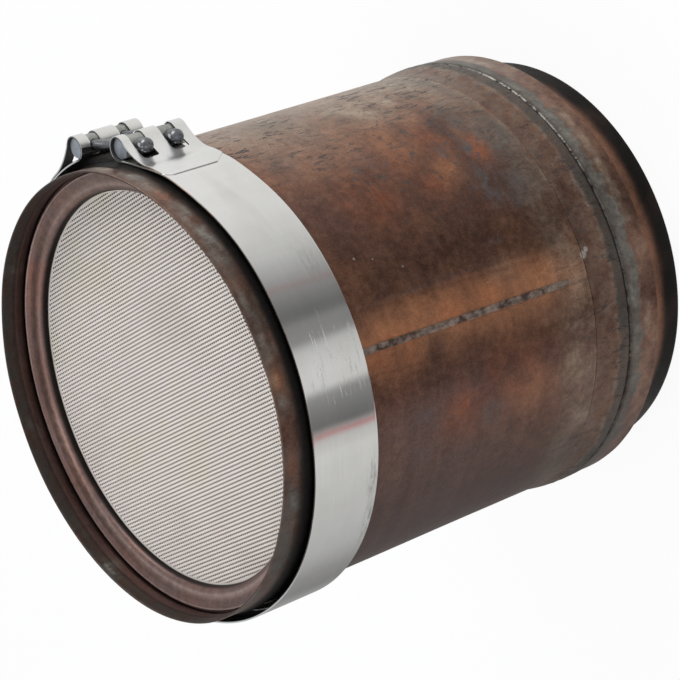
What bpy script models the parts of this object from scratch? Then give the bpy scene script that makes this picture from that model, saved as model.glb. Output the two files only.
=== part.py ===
"""Diesel particulate filter: a round steel can with a ceramic honeycomb, and a strap clamp on its inlet.

The can stands on its outlet end. +Z runs along its axis from the outlet to the inlet, and the origin is
the centre of the outlet's end edge. The clamp's latch lies midway between +X and +Y. Metres throughout.
"""

import math

import bmesh
import bpy
from mathutils import Matrix, Vector

# Filter brick and the pieces that hold it
BRICK_RADIUS = 0.142875
BRICK_LENGTH = 0.2794
INLET_RECESS = 0.0273
MAT_THICKNESS = 0.0069
CAN_WALL = 0.0015
SHELL_WALL = 0.0015
RING_SHEET = 0.0015
RING_SKIRT = 0.020
RING_OVER_BRICK = 0.007975
RING_CREST_WIDTH = 0.0035
RING_HEIGHT = 0.0100
RING_DISH = 0.0031

# Channels shown at the brick's ends, fewer and wider than the real ones
CHANNEL_PITCH = 0.0144
CHANNEL_WALL = 0.0034
CHANNEL_DEPTH = 0.0030
CHANNEL_TURN = math.radians(14.2)
CHANNEL_CLEAR_OF_RING = 0.0015

# Flanges, all pressed from sheet
FLANGE_SHEET = 0.0014
RIM_STEP_IN = 0.001175
RIM_HEIGHT = 0.012
INLET_BEAD_HEIGHT = 0.0007
INLET_BEAD_BEHIND_RIM = 0.0225
INLET_SLEEVE_BEHIND_RIM = 0.060
OUTLET_BEAD_HEIGHT = 0.0031
COLLAR_EDGE_HEIGHT = 0.0026
COLLAR_LENGTH = 0.0564
PILOT_STEP_IN = 0.007875
PILOT_NECK_DEPTH = 0.0023
PILOT_LENGTH = 0.0326
PILOT_SOCKET = 0.0291

# Strap clamp
BAND_WIDTH = 0.0508
BAND_THICKNESS = 0.0012
BAND_BEHIND_RIM = 0.0209
BAND_CLEAR_OF_SHELL = 0.0048
LATCH_ANGLE = math.radians(45.0)
BAR_SPREAD = math.radians(17.7)
BAR_RADIUS = 0.0072
BAR_RECESS = 0.0017
LOOP_CLEARANCE = 0.0002
TIGHT_END_CLEAR_OF_BEAD = 0.0003
FREE_END_LIFT = 0.0008
END_FLAT_ANGLE = math.radians(6.0)
END_EASE_ANGLE = math.radians(16.0)
LAP_LANDING_ANGLE = math.radians(11.6)
LAP_LANDING_RUN = 0.014
LAP_END_ANGLE = math.radians(19.7)
LAP_CORNER_LENGTH = 0.0145
LAP_CORNER_WIDTH = 0.0100
LAP_NICK = 0.0030
LAP_STEPS = 8
BOLT_RADIUS = 0.0036
BOLT_SPACING = 0.024
BOLT_PAIR_OFFSET = 0.0014
NUT_RADIUS = 0.0050
NUT_LENGTH = 0.0120
NUT_MARK_RADIUS = 0.0014
NUT_MARK_DEPTH = 0.0008
NUT_SLOT_WIDTH = 0.0120
BOLT_SLOT_WIDTH = 0.0084
SLOT_REACH = 0.0215
SLOT_FLOOR = 0.0069
RETAINER_COUNT = 3
RETAINER_SPAN = math.radians(92.0)
RETAINER_PITCH = math.radians(105.0)
RETAINER_SHEET = 0.0012
RETAINER_FLAT = 0.019
RETAINER_WIDTH = 0.030
RETAINER_DEPTH = 0.0030

# General
GAP = 0.0003
TURN_STEPS = 48
BAND_STEP = math.radians(4.0)
LOOP_STEP = math.radians(20.0)
NOSE_STEPS = 5
SMALL_TURN_STEPS = 16
SMOOTH_ANGLE = math.radians(35.0)
MERGE_DISTANCE = 0.00001

# Radii that follow from the brick outwards
MAT_INNER = BRICK_RADIUS + GAP
MAT_OUTER = MAT_INNER + MAT_THICKNESS
CAN_INNER = MAT_OUTER + GAP
CAN_OUTER = CAN_INNER + CAN_WALL
SHELL_INNER = CAN_OUTER + GAP
SHELL_OUTER = SHELL_INNER + SHELL_WALL
FLANGE_OUTER = SHELL_INNER + FLANGE_SHEET
BEAD_OUTER = FLANGE_OUTER + INLET_BEAD_HEIGHT
RIM_RADIUS = FLANGE_OUTER - RIM_STEP_IN
PILOT_END_RADIUS = SHELL_INNER - PILOT_STEP_IN
RING_BORE_RADIUS = BRICK_RADIUS - RING_OVER_BRICK
RING_CREST_RADIUS = RING_BORE_RADIUS + RING_CREST_WIDTH
BAND_INNER = SHELL_OUTER + BAND_CLEAR_OF_SHELL
BAND_OUTER = BAND_INNER + BAND_THICKNESS

# Heights from the outlet's end edge
COLLAR_EDGE_Z = PILOT_LENGTH
COLLAR_TOP_Z = COLLAR_EDGE_Z + COLLAR_LENGTH
PILOT_TOP_Z = COLLAR_EDGE_Z + PILOT_SOCKET
BRICK_BOTTOM_Z = PILOT_TOP_Z - 0.0084
BRICK_TOP_Z = BRICK_BOTTOM_Z + BRICK_LENGTH
LENGTH = BRICK_TOP_Z + INLET_RECESS
BEAD_Z = LENGTH - INLET_BEAD_BEHIND_RIM
SLEEVE_BOTTOM_Z = LENGTH - INLET_SLEEVE_BEHIND_RIM
BAND_TOP_Z = LENGTH - BAND_BEHIND_RIM
BAND_BOTTOM_Z = BAND_TOP_Z - BAND_WIDTH
BAND_MIDDLE_Z = (BAND_TOP_Z + BAND_BOTTOM_Z) / 2
BOLT_MIDDLE_Z = BAND_MIDDLE_Z + BOLT_PAIR_OFFSET

HEAT_TINTED = ("heat_tinted_steel", (0.17, 0.085, 0.05), 0.45, 0.85)
POLISHED = ("polished_strap", (0.62, 0.61, 0.59), 0.22, 1.0)
BAR_STEEL = ("bar_steel", (0.30, 0.33, 0.37), 0.35, 0.9)
ZINC_DARK = ("dark_zinc", (0.16, 0.18, 0.21), 0.3, 0.9)
CERAMIC = ("cordierite", (0.74, 0.69, 0.65), 0.9, 0.0)
FIBRE = ("fibre_mat", (0.75, 0.72, 0.66), 0.95, 0.0)


def clear_scene():
    for obj in list(bpy.data.objects):
        bpy.data.objects.remove(obj)


def new_collection(name):
    collection = bpy.data.collections.new(name)
    bpy.context.scene.collection.children.link(collection)
    return collection


def material(finish):
    """The Principled material of a finish, made once."""
    name, colour, roughness, metallic = finish
    found = bpy.data.materials.get(name)
    if found:
        return found
    made = bpy.data.materials.new(name)
    made.use_nodes = True
    shader = made.node_tree.nodes["Principled BSDF"]
    shader.inputs["Base Color"].default_value = (*colour, 1.0)
    shader.inputs["Roughness"].default_value = roughness
    shader.inputs["Metallic"].default_value = metallic
    return made


def place(name, mesh, collection, finish=None):
    obj = bpy.data.objects.new(name, mesh)
    collection.objects.link(obj)
    if finish:
        mesh.materials.append(material(finish))
    return obj


def polyline_mesh(name, points, closed):
    """A mesh of edges only, through points of (radius, height) at +X."""
    mesh = bpy.data.meshes.new(name)
    count = len(points)
    edges = [(i, i + 1) for i in range(count - 1)]
    if closed:
        edges.append((count - 1, 0))
    mesh.from_pydata([(r, 0.0, z) for r, z in points], edges, [])
    return mesh


def add_screw(obj, steps=TURN_STEPS):
    screw = obj.modifiers.new("Turn", "SCREW")
    screw.axis = "Z"
    screw.angle = math.tau
    screw.steps = steps
    screw.render_steps = steps
    screw.use_merge_vertices = True
    screw.merge_threshold = MERGE_DISTANCE
    screw.use_smooth_shade = True


def add_solidify(obj, thickness, offset):
    sheet = obj.modifiers.new("Sheet", "SOLIDIFY")
    sheet.thickness = thickness
    sheet.offset = offset
    sheet.use_even_offset = True


def turned_solid(name, profile, finish, collection):
    """A solid turned about Z from its closed section, given down the outer side first."""
    obj = place(name, polyline_mesh(name, profile, True), collection, finish)
    add_screw(obj)
    return obj


def turned_sheet(name, profile, thickness, finish, collection):
    """A pressed sheet ring: the outer face is the profile turned about Z, and the wall goes inwards."""
    obj = place(name, polyline_mesh(name, profile, False), collection, finish)
    add_screw(obj)
    add_solidify(obj, thickness, -1.0)
    return obj


def hide_cutter(obj):
    obj.hide_render = True
    obj.display_type = "WIRE"


def add_boolean(obj, cutter, operation):
    cut = obj.modifiers.new(cutter.name, "BOOLEAN")
    cut.operation = operation
    cut.object = cutter
    cut.solver = "EXACT"


def shade(obj):
    obj.data.shade_smooth()
    if obj.data.polygons:
        obj.data.set_sharp_from_angle(angle=SMOOTH_ANGLE)


def polar(radius, angle):
    return Vector((radius * math.cos(angle), radius * math.sin(angle)))


def arc_points(radius, start, end, step):
    """Points on a circle about the Z axis, from start to end."""
    count = max(2, math.ceil(abs(end - start) / step) + 1)
    return [polar(radius, start + (end - start) * i / (count - 1)) for i in range(count)]


def rounded(before, corner, after, steps=4):
    """A parabola that replaces a corner, tangent to both of its sides."""
    points = []
    for i in range(steps + 1):
        t = i / steps
        points.append((1 - t) ** 2 * before + 2 * t * (1 - t) * corner + t * t * after)
    return points


def channel_cutter(name, face_z, parity, tools):
    """Square bars that open every other channel at one end of the brick, inside the ring's bore.

    Channels whose column and row add up to an odd number are open where parity is 1, and the rest where
    it is 0, so a channel that is open at one end is plugged at the other.
    """
    side = CHANNEL_PITCH - CHANNEL_WALL
    reach = RING_BORE_RADIUS - CHANNEL_CLEAR_OF_RING - side / math.sqrt(2)
    count = math.floor(reach / CHANNEL_PITCH)
    face = Matrix.Translation((0.0, 0.0, face_z)) @ Matrix.Rotation(CHANNEL_TURN, 4, "Z")
    shape = Matrix.Diagonal((side, side, 2 * CHANNEL_DEPTH, 1.0))
    mesh = bpy.data.meshes.new(name)
    work = bmesh.new()
    for column in range(-count, count + 1):
        for row in range(-count, count + 1):
            centre = Vector((column, row, 0)) * CHANNEL_PITCH
            if (column + row) % 2 == parity and centre.length < reach:
                bmesh.ops.create_cube(work, size=1.0, matrix=face @ Matrix.Translation(centre) @ shape)
    work.to_mesh(mesh)
    work.free()
    cutter = place(name, mesh, tools)
    hide_cutter(cutter)
    return cutter


def make_filter_core(parts, tools):
    """The honeycomb brick with its channels' ends, the mat round it and the inner can round both."""
    brick = cylinder_mesh("filter_brick", BRICK_RADIUS, BRICK_LENGTH, TURN_STEPS)
    core = place("filter_brick", brick, parts, CERAMIC)
    core.location.z = (BRICK_TOP_Z + BRICK_BOTTOM_Z) / 2
    add_boolean(core, channel_cutter("inlet_channels", BRICK_TOP_Z, 0, tools), "DIFFERENCE")
    add_boolean(core, channel_cutter("outlet_channels", BRICK_BOTTOM_Z, 1, tools), "DIFFERENCE")
    mat_top = BRICK_TOP_Z + RING_HEIGHT - RING_SKIRT - GAP
    mat_bottom = BRICK_BOTTOM_Z - RING_HEIGHT + RING_SKIRT + GAP
    mat = [
        (MAT_OUTER, mat_top),
        (MAT_OUTER, mat_bottom),
        (MAT_INNER, mat_bottom),
        (MAT_INNER, mat_top),
    ]
    turned_solid("support_mat", mat, FIBRE, parts)
    can_top = BRICK_TOP_Z + RING_HEIGHT - RING_SHEET
    can = [
        (CAN_OUTER, can_top),
        (CAN_OUTER, PILOT_TOP_Z + GAP),
        (CAN_INNER, PILOT_TOP_Z + GAP),
        (CAN_INNER, can_top),
    ]
    turned_solid("inner_can", can, HEAT_TINTED, parts)


def make_outer_shell(parts):
    """The wrapped outer sheet, which butts against both flange sleeves."""
    shell = [
        (SHELL_OUTER, SLEEVE_BOTTOM_Z - GAP),
        (SHELL_OUTER, COLLAR_TOP_Z + GAP),
        (SHELL_INNER, COLLAR_TOP_Z + GAP),
        (SHELL_INNER, SLEEVE_BOTTOM_Z - GAP),
    ]
    turned_solid("outer_shell", shell, HEAT_TINTED, parts)


def ring_profile(brick_face_z, outward):
    """The face of a retaining ring, from its bore lip over the crest and down the skirt.

    outward is +1 at the inlet and -1 at the outlet.
    """
    skirt_radius = CAN_INNER - GAP
    bend = 2 * RING_SHEET
    heights = [
        (RING_BORE_RADIUS, GAP),
        (RING_BORE_RADIUS, RING_HEIGHT - RING_DISH - bend),
        (RING_CREST_RADIUS, RING_HEIGHT - RING_DISH),
        (skirt_radius - 0.3 * bend, RING_HEIGHT),
        (skirt_radius, RING_HEIGHT - 0.3 * bend),
        (skirt_radius, RING_HEIGHT - RING_SKIRT),
    ]
    points = [(r, brick_face_z + outward * h) for r, h in heights]
    return points if outward > 0 else points[::-1]


def make_retaining_rings(parts):
    """The two pressed rings that hold the brick and its mat in place."""
    inlet = ring_profile(BRICK_TOP_Z, 1)
    turned_sheet("inlet_retaining_ring", inlet, RING_SHEET, HEAT_TINTED, parts)
    outlet = ring_profile(BRICK_BOTTOM_Z, -1)
    turned_sheet("outlet_retaining_ring", outlet, RING_SHEET, HEAT_TINTED, parts)


def make_inlet_flange(parts):
    """The inlet's pilot rim, the bead behind it and the sleeve under the clamp, pressed in one piece."""
    flare_top = LENGTH - RIM_HEIGHT
    flare = flare_top - BEAD_Z
    rise = BEAD_OUTER - RIM_RADIUS
    fall = BEAD_OUTER - FLANGE_OUTER
    run_out = 2.2 * fall + 0.004
    profile = [
        (RIM_RADIUS, LENGTH),
        (RIM_RADIUS, flare_top),
        (RIM_RADIUS + 0.15 * rise, flare_top - 0.35 * flare),
        (RIM_RADIUS + 0.72 * rise, flare_top - 0.74 * flare),
        (BEAD_OUTER, BEAD_Z),
        (FLANGE_OUTER + 0.45 * fall, BEAD_Z - 0.50 * run_out),
        (FLANGE_OUTER, BEAD_Z - run_out),
        (FLANGE_OUTER, SLEEVE_BOTTOM_Z),
    ]
    turned_sheet("inlet_flange", profile, FLANGE_SHEET, HEAT_TINTED, parts)


def make_outlet_collar(parts):
    """The collar at the outlet: a sleeve, a double bead with the weld's crease in it, and a proud edge."""
    run = COLLAR_TOP_Z - COLLAR_EDGE_Z
    bead = OUTLET_BEAD_HEIGHT
    profile = [
        (FLANGE_OUTER, COLLAR_TOP_Z),
        (FLANGE_OUTER + 0.05 * bead, COLLAR_EDGE_Z + 0.85 * run),
        (FLANGE_OUTER + 0.70 * bead, COLLAR_EDGE_Z + 0.68 * run),
        (FLANGE_OUTER + 0.97 * bead, COLLAR_EDGE_Z + 0.53 * run),
        (FLANGE_OUTER + 0.62 * bead, COLLAR_EDGE_Z + 0.487 * run),
        (FLANGE_OUTER + bead, COLLAR_EDGE_Z + 0.43 * run),
        (FLANGE_OUTER + 0.92 * bead, COLLAR_EDGE_Z + 0.26 * run),
        (FLANGE_OUTER + 0.70 * bead, COLLAR_EDGE_Z + 0.13 * run),
        (FLANGE_OUTER + COLLAR_EDGE_HEIGHT, COLLAR_EDGE_Z),
    ]
    turned_sheet("outlet_collar", profile, FLANGE_SHEET, HEAT_TINTED, parts)


def make_outlet_pilot(parts):
    """The outlet pilot ring: a sleeve in the collar, a shoulder and a necked lip that flares at its end."""
    sleeve_radius = SHELL_INNER - GAP
    neck_radius = PILOT_END_RADIUS - PILOT_NECK_DEPTH
    profile = [
        (sleeve_radius, PILOT_TOP_Z),
        (sleeve_radius, 1.04 * PILOT_LENGTH),
        (0.25 * sleeve_radius + 0.75 * neck_radius, 0.86 * PILOT_LENGTH),
        (neck_radius, 0.66 * PILOT_LENGTH),
        (neck_radius + 0.08 * PILOT_NECK_DEPTH, 0.42 * PILOT_LENGTH),
        (neck_radius + 0.60 * PILOT_NECK_DEPTH, 0.18 * PILOT_LENGTH),
        (PILOT_END_RADIUS, 0.05 * PILOT_LENGTH),
        (PILOT_END_RADIUS, 0.0),
    ]
    turned_sheet("outlet_pilot_ring", profile, FLANGE_SHEET, HEAT_TINTED, parts)


class Latch:
    """Where the two bars lie, seen along +Z, and how far from the axis the strap runs at each angle."""

    def __init__(self):
        half = BAND_THICKNESS / 2
        loop_bottom = BAR_RADIUS + LOOP_CLEARANCE
        self.tight_radius = BEAD_OUTER + TIGHT_END_CLEAR_OF_BEAD + half
        self.free_radius = BAND_INNER + FREE_END_LIFT + half
        self.tight_angle = LATCH_ANGLE - BAR_SPREAD / 2
        self.free_angle = LATCH_ANGLE + BAR_SPREAD / 2
        self.tight_bar = polar(self.tight_radius + half + loop_bottom, self.tight_angle)
        self.free_bar = polar(self.free_radius + half + loop_bottom, self.free_angle)
        self.along = (self.tight_bar - self.free_bar).normalized()

    def strap_radius(self, past_bar, end_radius):
        """Radius of the strap's centre line at an angle past a bar, where it starts at end_radius."""
        share = (past_bar - END_FLAT_ANGLE) / END_EASE_ANGLE
        share = min(1.0, max(0.0, share))
        ease = share * share * (3 - 2 * share)
        return end_radius + (BAND_INNER + BAND_THICKNESS / 2 - end_radius) * ease


def end_path(latch, bar, bar_angle, end_radius, side):
    """Centre line of one strap end: under the bar, round it, down to the band and along it as a lap.

    side is -1 where the lap runs to smaller angles, and +1 where it runs to larger ones.
    """
    over_band = BAND_THICKNESS + GAP

    def on_lap(past_bar):
        return polar(latch.strap_radius(past_bar, end_radius) + over_band, bar_angle + side * past_bar)

    landing = on_lap(LAP_LANDING_ANGLE)
    step = math.radians(0.5)
    run = (landing - on_lap(LAP_LANDING_ANGLE - step)).normalized()
    knee = landing - run * LAP_LANDING_RUN
    loop_radius = BAR_RADIUS + LOOP_CLEARANCE + BAND_THICKNESS / 2
    to_knee = knee - bar
    leave = math.atan2(to_knee.y, to_knee.x) - side * math.acos(loop_radius / to_knee.length)
    bottom = bar_angle + math.pi
    sweep = (leave - bottom) * side % math.tau
    steps = round(sweep / LOOP_STEP)
    loop = []
    for i in range(steps + 1):
        turn = bottom + side * sweep * i / steps
        loop.append(bar + loop_radius * Vector((math.cos(turn), math.sin(turn))))
    descent = rounded(loop[-1], knee, landing, 8)[1:]
    lap_angle = LAP_END_ANGLE - LAP_LANDING_ANGLE
    lap = [on_lap(LAP_LANDING_ANGLE + lap_angle * (i + 1) / LAP_STEPS) for i in range(LAP_STEPS)]
    return loop + descent + lap


def main_path(latch):
    """The strap's centre line round the can, from the free bar to the tight one."""
    turn = math.tau - BAR_SPREAD
    steps = math.ceil(turn / BAND_STEP)
    points = []
    for i in range(1, steps):
        past_free = turn * i / steps
        radius = latch.strap_radius(past_free, latch.free_radius)
        if turn - past_free < past_free:
            radius = latch.strap_radius(turn - past_free, latch.tight_radius)
        points.append(polar(radius, latch.free_angle + past_free))
    return points


def band_path(latch):
    """The whole strap's centre line, from one lap to the other."""
    tight = end_path(latch, latch.tight_bar, latch.tight_angle, latch.tight_radius, -1)
    free = end_path(latch, latch.free_bar, latch.free_angle, latch.free_radius, 1)
    return free[::-1] + main_path(latch) + tight


def band_edges(path):
    """Heights of the strap's rear and front edges at each point.

    At both ends the front corner is clipped round and the rear one has a small nick.
    """
    lows = [BAND_BOTTOM_Z] * len(path)
    tops = [BAND_TOP_Z] * len(path)
    for step in (1, -1):
        order = range(len(path))[::step]
        from_end = 0.0
        for i in order:
            if from_end > LAP_CORNER_LENGTH:
                break
            tops[i] -= LAP_CORNER_WIDTH * (1 - from_end / LAP_CORNER_LENGTH) ** 2
            lows[i] += max(0.0, LAP_NICK - from_end)
            from_end += (path[i] - path[i + step]).length
    return lows, tops


def strip_mesh(name, path, lows, tops):
    """An open strip along the path, standing parallel to Z between its edge heights at each point."""
    mesh = bpy.data.meshes.new(name)
    work = bmesh.new()
    line = [work.verts.new((p.x, p.y, low)) for p, low in zip(path, lows)]
    edges = [work.edges.new(pair) for pair in zip(line, line[1:])]
    raised = bmesh.ops.extrude_edge_only(work, edges=edges)["geom"]
    upper = {item for item in raised if isinstance(item, bmesh.types.BMVert)}
    for vert, height in zip(line, tops):
        top = next(e.other_vert(vert) for e in vert.link_edges if e.other_vert(vert) in upper)
        top.co.z = height
    work.to_mesh(mesh)
    work.free()
    return mesh


def latch_frame(bar, angle):
    """A frame at a bar: X runs away from the other bar round the can, Y radially out, Z along the bar."""
    outward = Vector((math.cos(angle), math.sin(angle), 0.0))
    side = 1 if angle > LATCH_ANGLE else -1
    away = Vector((-math.sin(angle), math.cos(angle), 0.0)) * side
    rotation = Matrix((away, outward, away.cross(outward))).transposed().to_4x4()
    return Matrix.Translation((bar.x, bar.y, 0.0)) @ rotation


def slot_cutter(name, frame, slot_width, height, tools):
    """A box that opens the loop round a bolt: on its inner side, over the bar and part way down the lap."""
    near = BAR_RADIUS + 4 * BAND_THICKNESS
    top = BAR_RADIUS + 4 * BAND_THICKNESS
    mesh = bpy.data.meshes.new(name)
    work = bmesh.new()
    bmesh.ops.create_cube(work, size=1.0)
    size = Vector((SLOT_REACH + near, SLOT_FLOOR + top, slot_width))
    middle = Vector(((SLOT_REACH - near) / 2, (top - SLOT_FLOOR) / 2, 0.0))
    bmesh.ops.scale(work, vec=size, verts=work.verts)
    bmesh.ops.translate(work, vec=middle, verts=work.verts)
    bmesh.ops.transform(work, matrix=Matrix.Translation((0.0, 0.0, height)) @ frame, verts=work.verts)
    bmesh.ops.recalc_face_normals(work, faces=work.faces)
    work.to_mesh(mesh)
    work.free()
    cutter = place(name, mesh, tools)
    hide_cutter(cutter)
    return cutter


def bolt_heights():
    return {
        "front": BOLT_MIDDLE_Z + BOLT_SPACING / 2,
        "rear": BOLT_MIDDLE_Z - BOLT_SPACING / 2,
    }


def make_clamp_band(latch, parts, tools):
    """The steel strap, folded back on itself round a bar at each end, with two slots in each loop."""
    path = band_path(latch)
    mesh = strip_mesh("clamp_band", path, *band_edges(path))
    band = place("clamp_band", mesh, parts, POLISHED)
    add_solidify(band, BAND_THICKNESS, 0.0)
    ends = (
        ("nut_slot", latch.tight_bar, latch.tight_angle, NUT_SLOT_WIDTH),
        ("bolt_slot", latch.free_bar, latch.free_angle, BOLT_SLOT_WIDTH),
    )
    for label, bar, angle, width in ends:
        frame = latch_frame(bar, angle)
        for place_name, height in bolt_heights().items():
            cutter = slot_cutter(f"{label}_{place_name}", frame, width, height, tools)
            add_boolean(band, cutter, "DIFFERENCE")
    shade(band)


def make_retainers(parts, tools):
    """Pressed V channels inside the strap, spaced clear of the latch."""
    middle = BAND_MIDDLE_Z - 0.006
    flat_radius = BAND_INNER - GAP
    profile = [
        (flat_radius - RETAINER_DEPTH, middle + RETAINER_WIDTH / 2),
        (flat_radius, middle + RETAINER_FLAT / 2),
        (flat_radius, middle - RETAINER_FLAT / 2),
        (flat_radius - RETAINER_DEPTH, middle - RETAINER_WIDTH / 2),
    ]
    for index in range(RETAINER_COUNT):
        centre = LATCH_ANGLE + math.pi + (index - (RETAINER_COUNT - 1) / 2) * RETAINER_PITCH
        name = f"v_retainer_{index + 1}"
        channel = turned_sheet(name, profile, RETAINER_SHEET, POLISHED, parts)
        wedge = sector_cutter(f"{name}_sector", centre, tools)
        add_boolean(channel, wedge, "INTERSECT")


def sector_cutter(name, centre, tools):
    """A flat sector about Z, wider than the strap, that keeps one retainer's share of the circle."""
    reach = 1.3 * BAND_OUTER
    corner = polar(0.5 * BAND_INNER, centre)
    outline = [corner * 0.2]
    outline += arc_points(reach, centre - RETAINER_SPAN / 2, centre + RETAINER_SPAN / 2, math.radians(12))
    mesh = bpy.data.meshes.new(name)
    work = bmesh.new()
    face = work.faces.new([work.verts.new((p.x, p.y, BAND_BOTTOM_Z - GAP)) for p in outline])
    raised = bmesh.ops.extrude_face_region(work, geom=[face])["geom"]
    tops = [item for item in raised if isinstance(item, bmesh.types.BMVert)]
    bmesh.ops.translate(work, verts=tops, vec=(0.0, 0.0, BAND_WIDTH + 2 * GAP))
    bmesh.ops.recalc_face_normals(work, faces=work.faces)
    work.to_mesh(mesh)
    work.free()
    cutter = place(name, mesh, tools)
    hide_cutter(cutter)
    return cutter


def cylinder_mesh(name, radius, length, segments):
    mesh = bpy.data.meshes.new(name)
    work = bmesh.new()
    bmesh.ops.create_cone(
        work, cap_ends=True, segments=segments, radius1=radius, radius2=radius, depth=length
    )
    work.to_mesh(mesh)
    work.free()
    return mesh


def along_matrix(origin, direction):
    """A frame whose Z axis is the given direction."""
    rotation = direction.to_track_quat("Z", "Y").to_matrix().to_4x4()
    return Matrix.Translation(origin) @ rotation


def make_bars(latch, parts, tools):
    """The two cross bars that the strap ends fold round, each drilled for both bolts."""
    direction = Vector((latch.along.x, latch.along.y, 0.0))
    bar_length = BAND_WIDTH - 2 * BAR_RECESS
    for name, bar in (("nut_end_bar", latch.tight_bar), ("bolt_end_bar", latch.free_bar)):
        obj = place(name, cylinder_mesh(name, BAR_RADIUS, bar_length, 32), parts, BAR_STEEL)
        obj.location = (bar.x, bar.y, BAND_MIDDLE_Z)
        bevel = obj.modifiers.new("Edge", "BEVEL")
        bevel.width = 0.0005
        bevel.segments = 1
        bevel.angle_limit = math.radians(40)
        for place_name, height in bolt_heights().items():
            drill_name = f"{name}_drill_{place_name}"
            bore = cylinder_mesh(drill_name, BOLT_RADIUS + GAP, 6 * BAR_RADIUS, SMALL_TURN_STEPS)
            drill = place(drill_name, bore, tools)
            drill.matrix_world = along_matrix(Vector((bar.x, bar.y, height)), direction)
            hide_cutter(drill)
            add_boolean(obj, drill, "DIFFERENCE")
        shade(obj)


def make_bolts(latch, parts):
    """Two bolts from the far side of the bolt end bar through the nut end bar, and a domed nut on each."""
    direction = Vector((latch.along.x, latch.along.y, 0.0))
    bars_apart = (latch.tight_bar - latch.free_bar).length
    start = -BAR_RADIUS
    seat = bars_apart + BAR_RADIUS + LOOP_CLEARANCE
    bore_depth = 0.6 * NUT_LENGTH
    for place_name, height in bolt_heights().items():
        origin = Vector((latch.free_bar.x, latch.free_bar.y, height))
        frame = along_matrix(origin, direction)
        end = seat + bore_depth - GAP
        shank = [
            (0.0, end),
            (BOLT_RADIUS - 0.0005, end),
            (BOLT_RADIUS, end - 0.0005),
            (BOLT_RADIUS, start + 0.0005),
            (BOLT_RADIUS - 0.0005, start),
            (0.0, start),
        ]
        bolt = turned_part(f"clamp_bolt_{place_name}", shank, ZINC_DARK, parts)
        bolt.matrix_world = frame
        nut = turned_part(f"domed_nut_{place_name}", nut_section(seat, bore_depth), ZINC_DARK, parts)
        nut.matrix_world = frame


def turned_part(name, profile, finish, parts):
    """A small turned piece about its own Z axis."""
    closed = profile[-1][0] > 0
    obj = place(name, polyline_mesh(name, profile, closed), parts, finish)
    add_screw(obj, SMALL_TURN_STEPS)
    return obj


def nut_section(seat, bore_depth):
    """Section of a domed nut: its blind bore, its seat and a round nose."""
    barrel_end = seat + NUT_LENGTH - NUT_RADIUS
    bore = BOLT_RADIUS + GAP
    tip = barrel_end + NUT_RADIUS
    nose = [(0.0, tip - NUT_MARK_DEPTH), (NUT_MARK_RADIUS, tip - NUT_MARK_DEPTH)]
    start = math.acos(NUT_MARK_RADIUS / NUT_RADIUS)
    for i in range(NOSE_STEPS + 1):
        turn = start * (1 - i / NOSE_STEPS)
        nose.append((NUT_RADIUS * math.cos(turn), barrel_end + NUT_RADIUS * math.sin(turn)))
    return nose + [
        (NUT_RADIUS, seat + 0.0006),
        (NUT_RADIUS - 0.0006, seat),
        (bore, seat),
        (bore, seat + bore_depth),
        (0.0, seat + bore_depth),
    ]


def main():
    clear_scene()
    parts = new_collection("diesel_particulate_filter")
    tools = new_collection("cutters")
    make_filter_core(parts, tools)
    make_outer_shell(parts)
    make_retaining_rings(parts)
    make_inlet_flange(parts)
    make_outlet_collar(parts)
    make_outlet_pilot(parts)
    latch = Latch()
    make_clamp_band(latch, parts, tools)
    make_retainers(parts, tools)
    make_bars(latch, parts, tools)
    make_bolts(latch, parts)


main()
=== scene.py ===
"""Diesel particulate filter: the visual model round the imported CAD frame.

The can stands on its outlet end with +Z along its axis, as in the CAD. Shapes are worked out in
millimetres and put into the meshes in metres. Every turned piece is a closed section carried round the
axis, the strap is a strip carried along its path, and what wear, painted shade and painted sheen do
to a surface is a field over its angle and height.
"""

import math

import bmesh
import bpy
import numpy as np
from mathutils import Matrix, Vector


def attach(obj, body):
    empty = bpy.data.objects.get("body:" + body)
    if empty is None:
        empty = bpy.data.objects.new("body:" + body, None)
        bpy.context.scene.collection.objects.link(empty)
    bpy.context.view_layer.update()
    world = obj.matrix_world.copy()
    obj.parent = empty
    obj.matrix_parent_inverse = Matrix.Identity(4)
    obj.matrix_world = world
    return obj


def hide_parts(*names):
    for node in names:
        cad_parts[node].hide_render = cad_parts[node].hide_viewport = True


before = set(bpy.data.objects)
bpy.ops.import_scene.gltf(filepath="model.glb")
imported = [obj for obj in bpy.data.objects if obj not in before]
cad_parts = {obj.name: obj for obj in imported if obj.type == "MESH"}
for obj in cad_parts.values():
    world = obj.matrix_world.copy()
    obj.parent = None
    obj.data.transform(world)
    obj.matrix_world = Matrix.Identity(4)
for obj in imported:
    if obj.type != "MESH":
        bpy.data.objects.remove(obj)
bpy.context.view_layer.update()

MM = 0.001

# The can, from the brick outwards, in millimetres
BRICK_RADIUS = 142.875
BRICK_BOTTOM = 53.3
BRICK_TOP = 332.7
CAN_INNER = 150.375
SHELL_INNER = 152.175
SHELL_OUTER = 153.675
FLANGE_OUTER = 153.575
RIM_RADIUS = 152.4
BEAD_OUTER = 154.275
BEAD_Z = 337.5
LENGTH = 360.0
SLEEVE_BOTTOM = 300.0
COLLAR_TOP = 89.0
COLLAR_EDGE = 32.6
OUTLET_BEAD = 3.1
COLLAR_CREASE = 60.0
RIM_PUSH = 3.2
RIM_OPENING = 1.7
PILOT_TOP = 61.7
PILOT_END_RADIUS = 144.3
PILOT_NECK_DEPTH = 2.3
RING_BORE = 134.9
RING_CREST = 138.4
RING_SKIRT_RADIUS = 150.075
RING_HEIGHT = 10.0
RING_SKIRT = 20.0
SHEET = 1.5
FLANGE_SHEET = 1.4
GAP = 0.3

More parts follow.
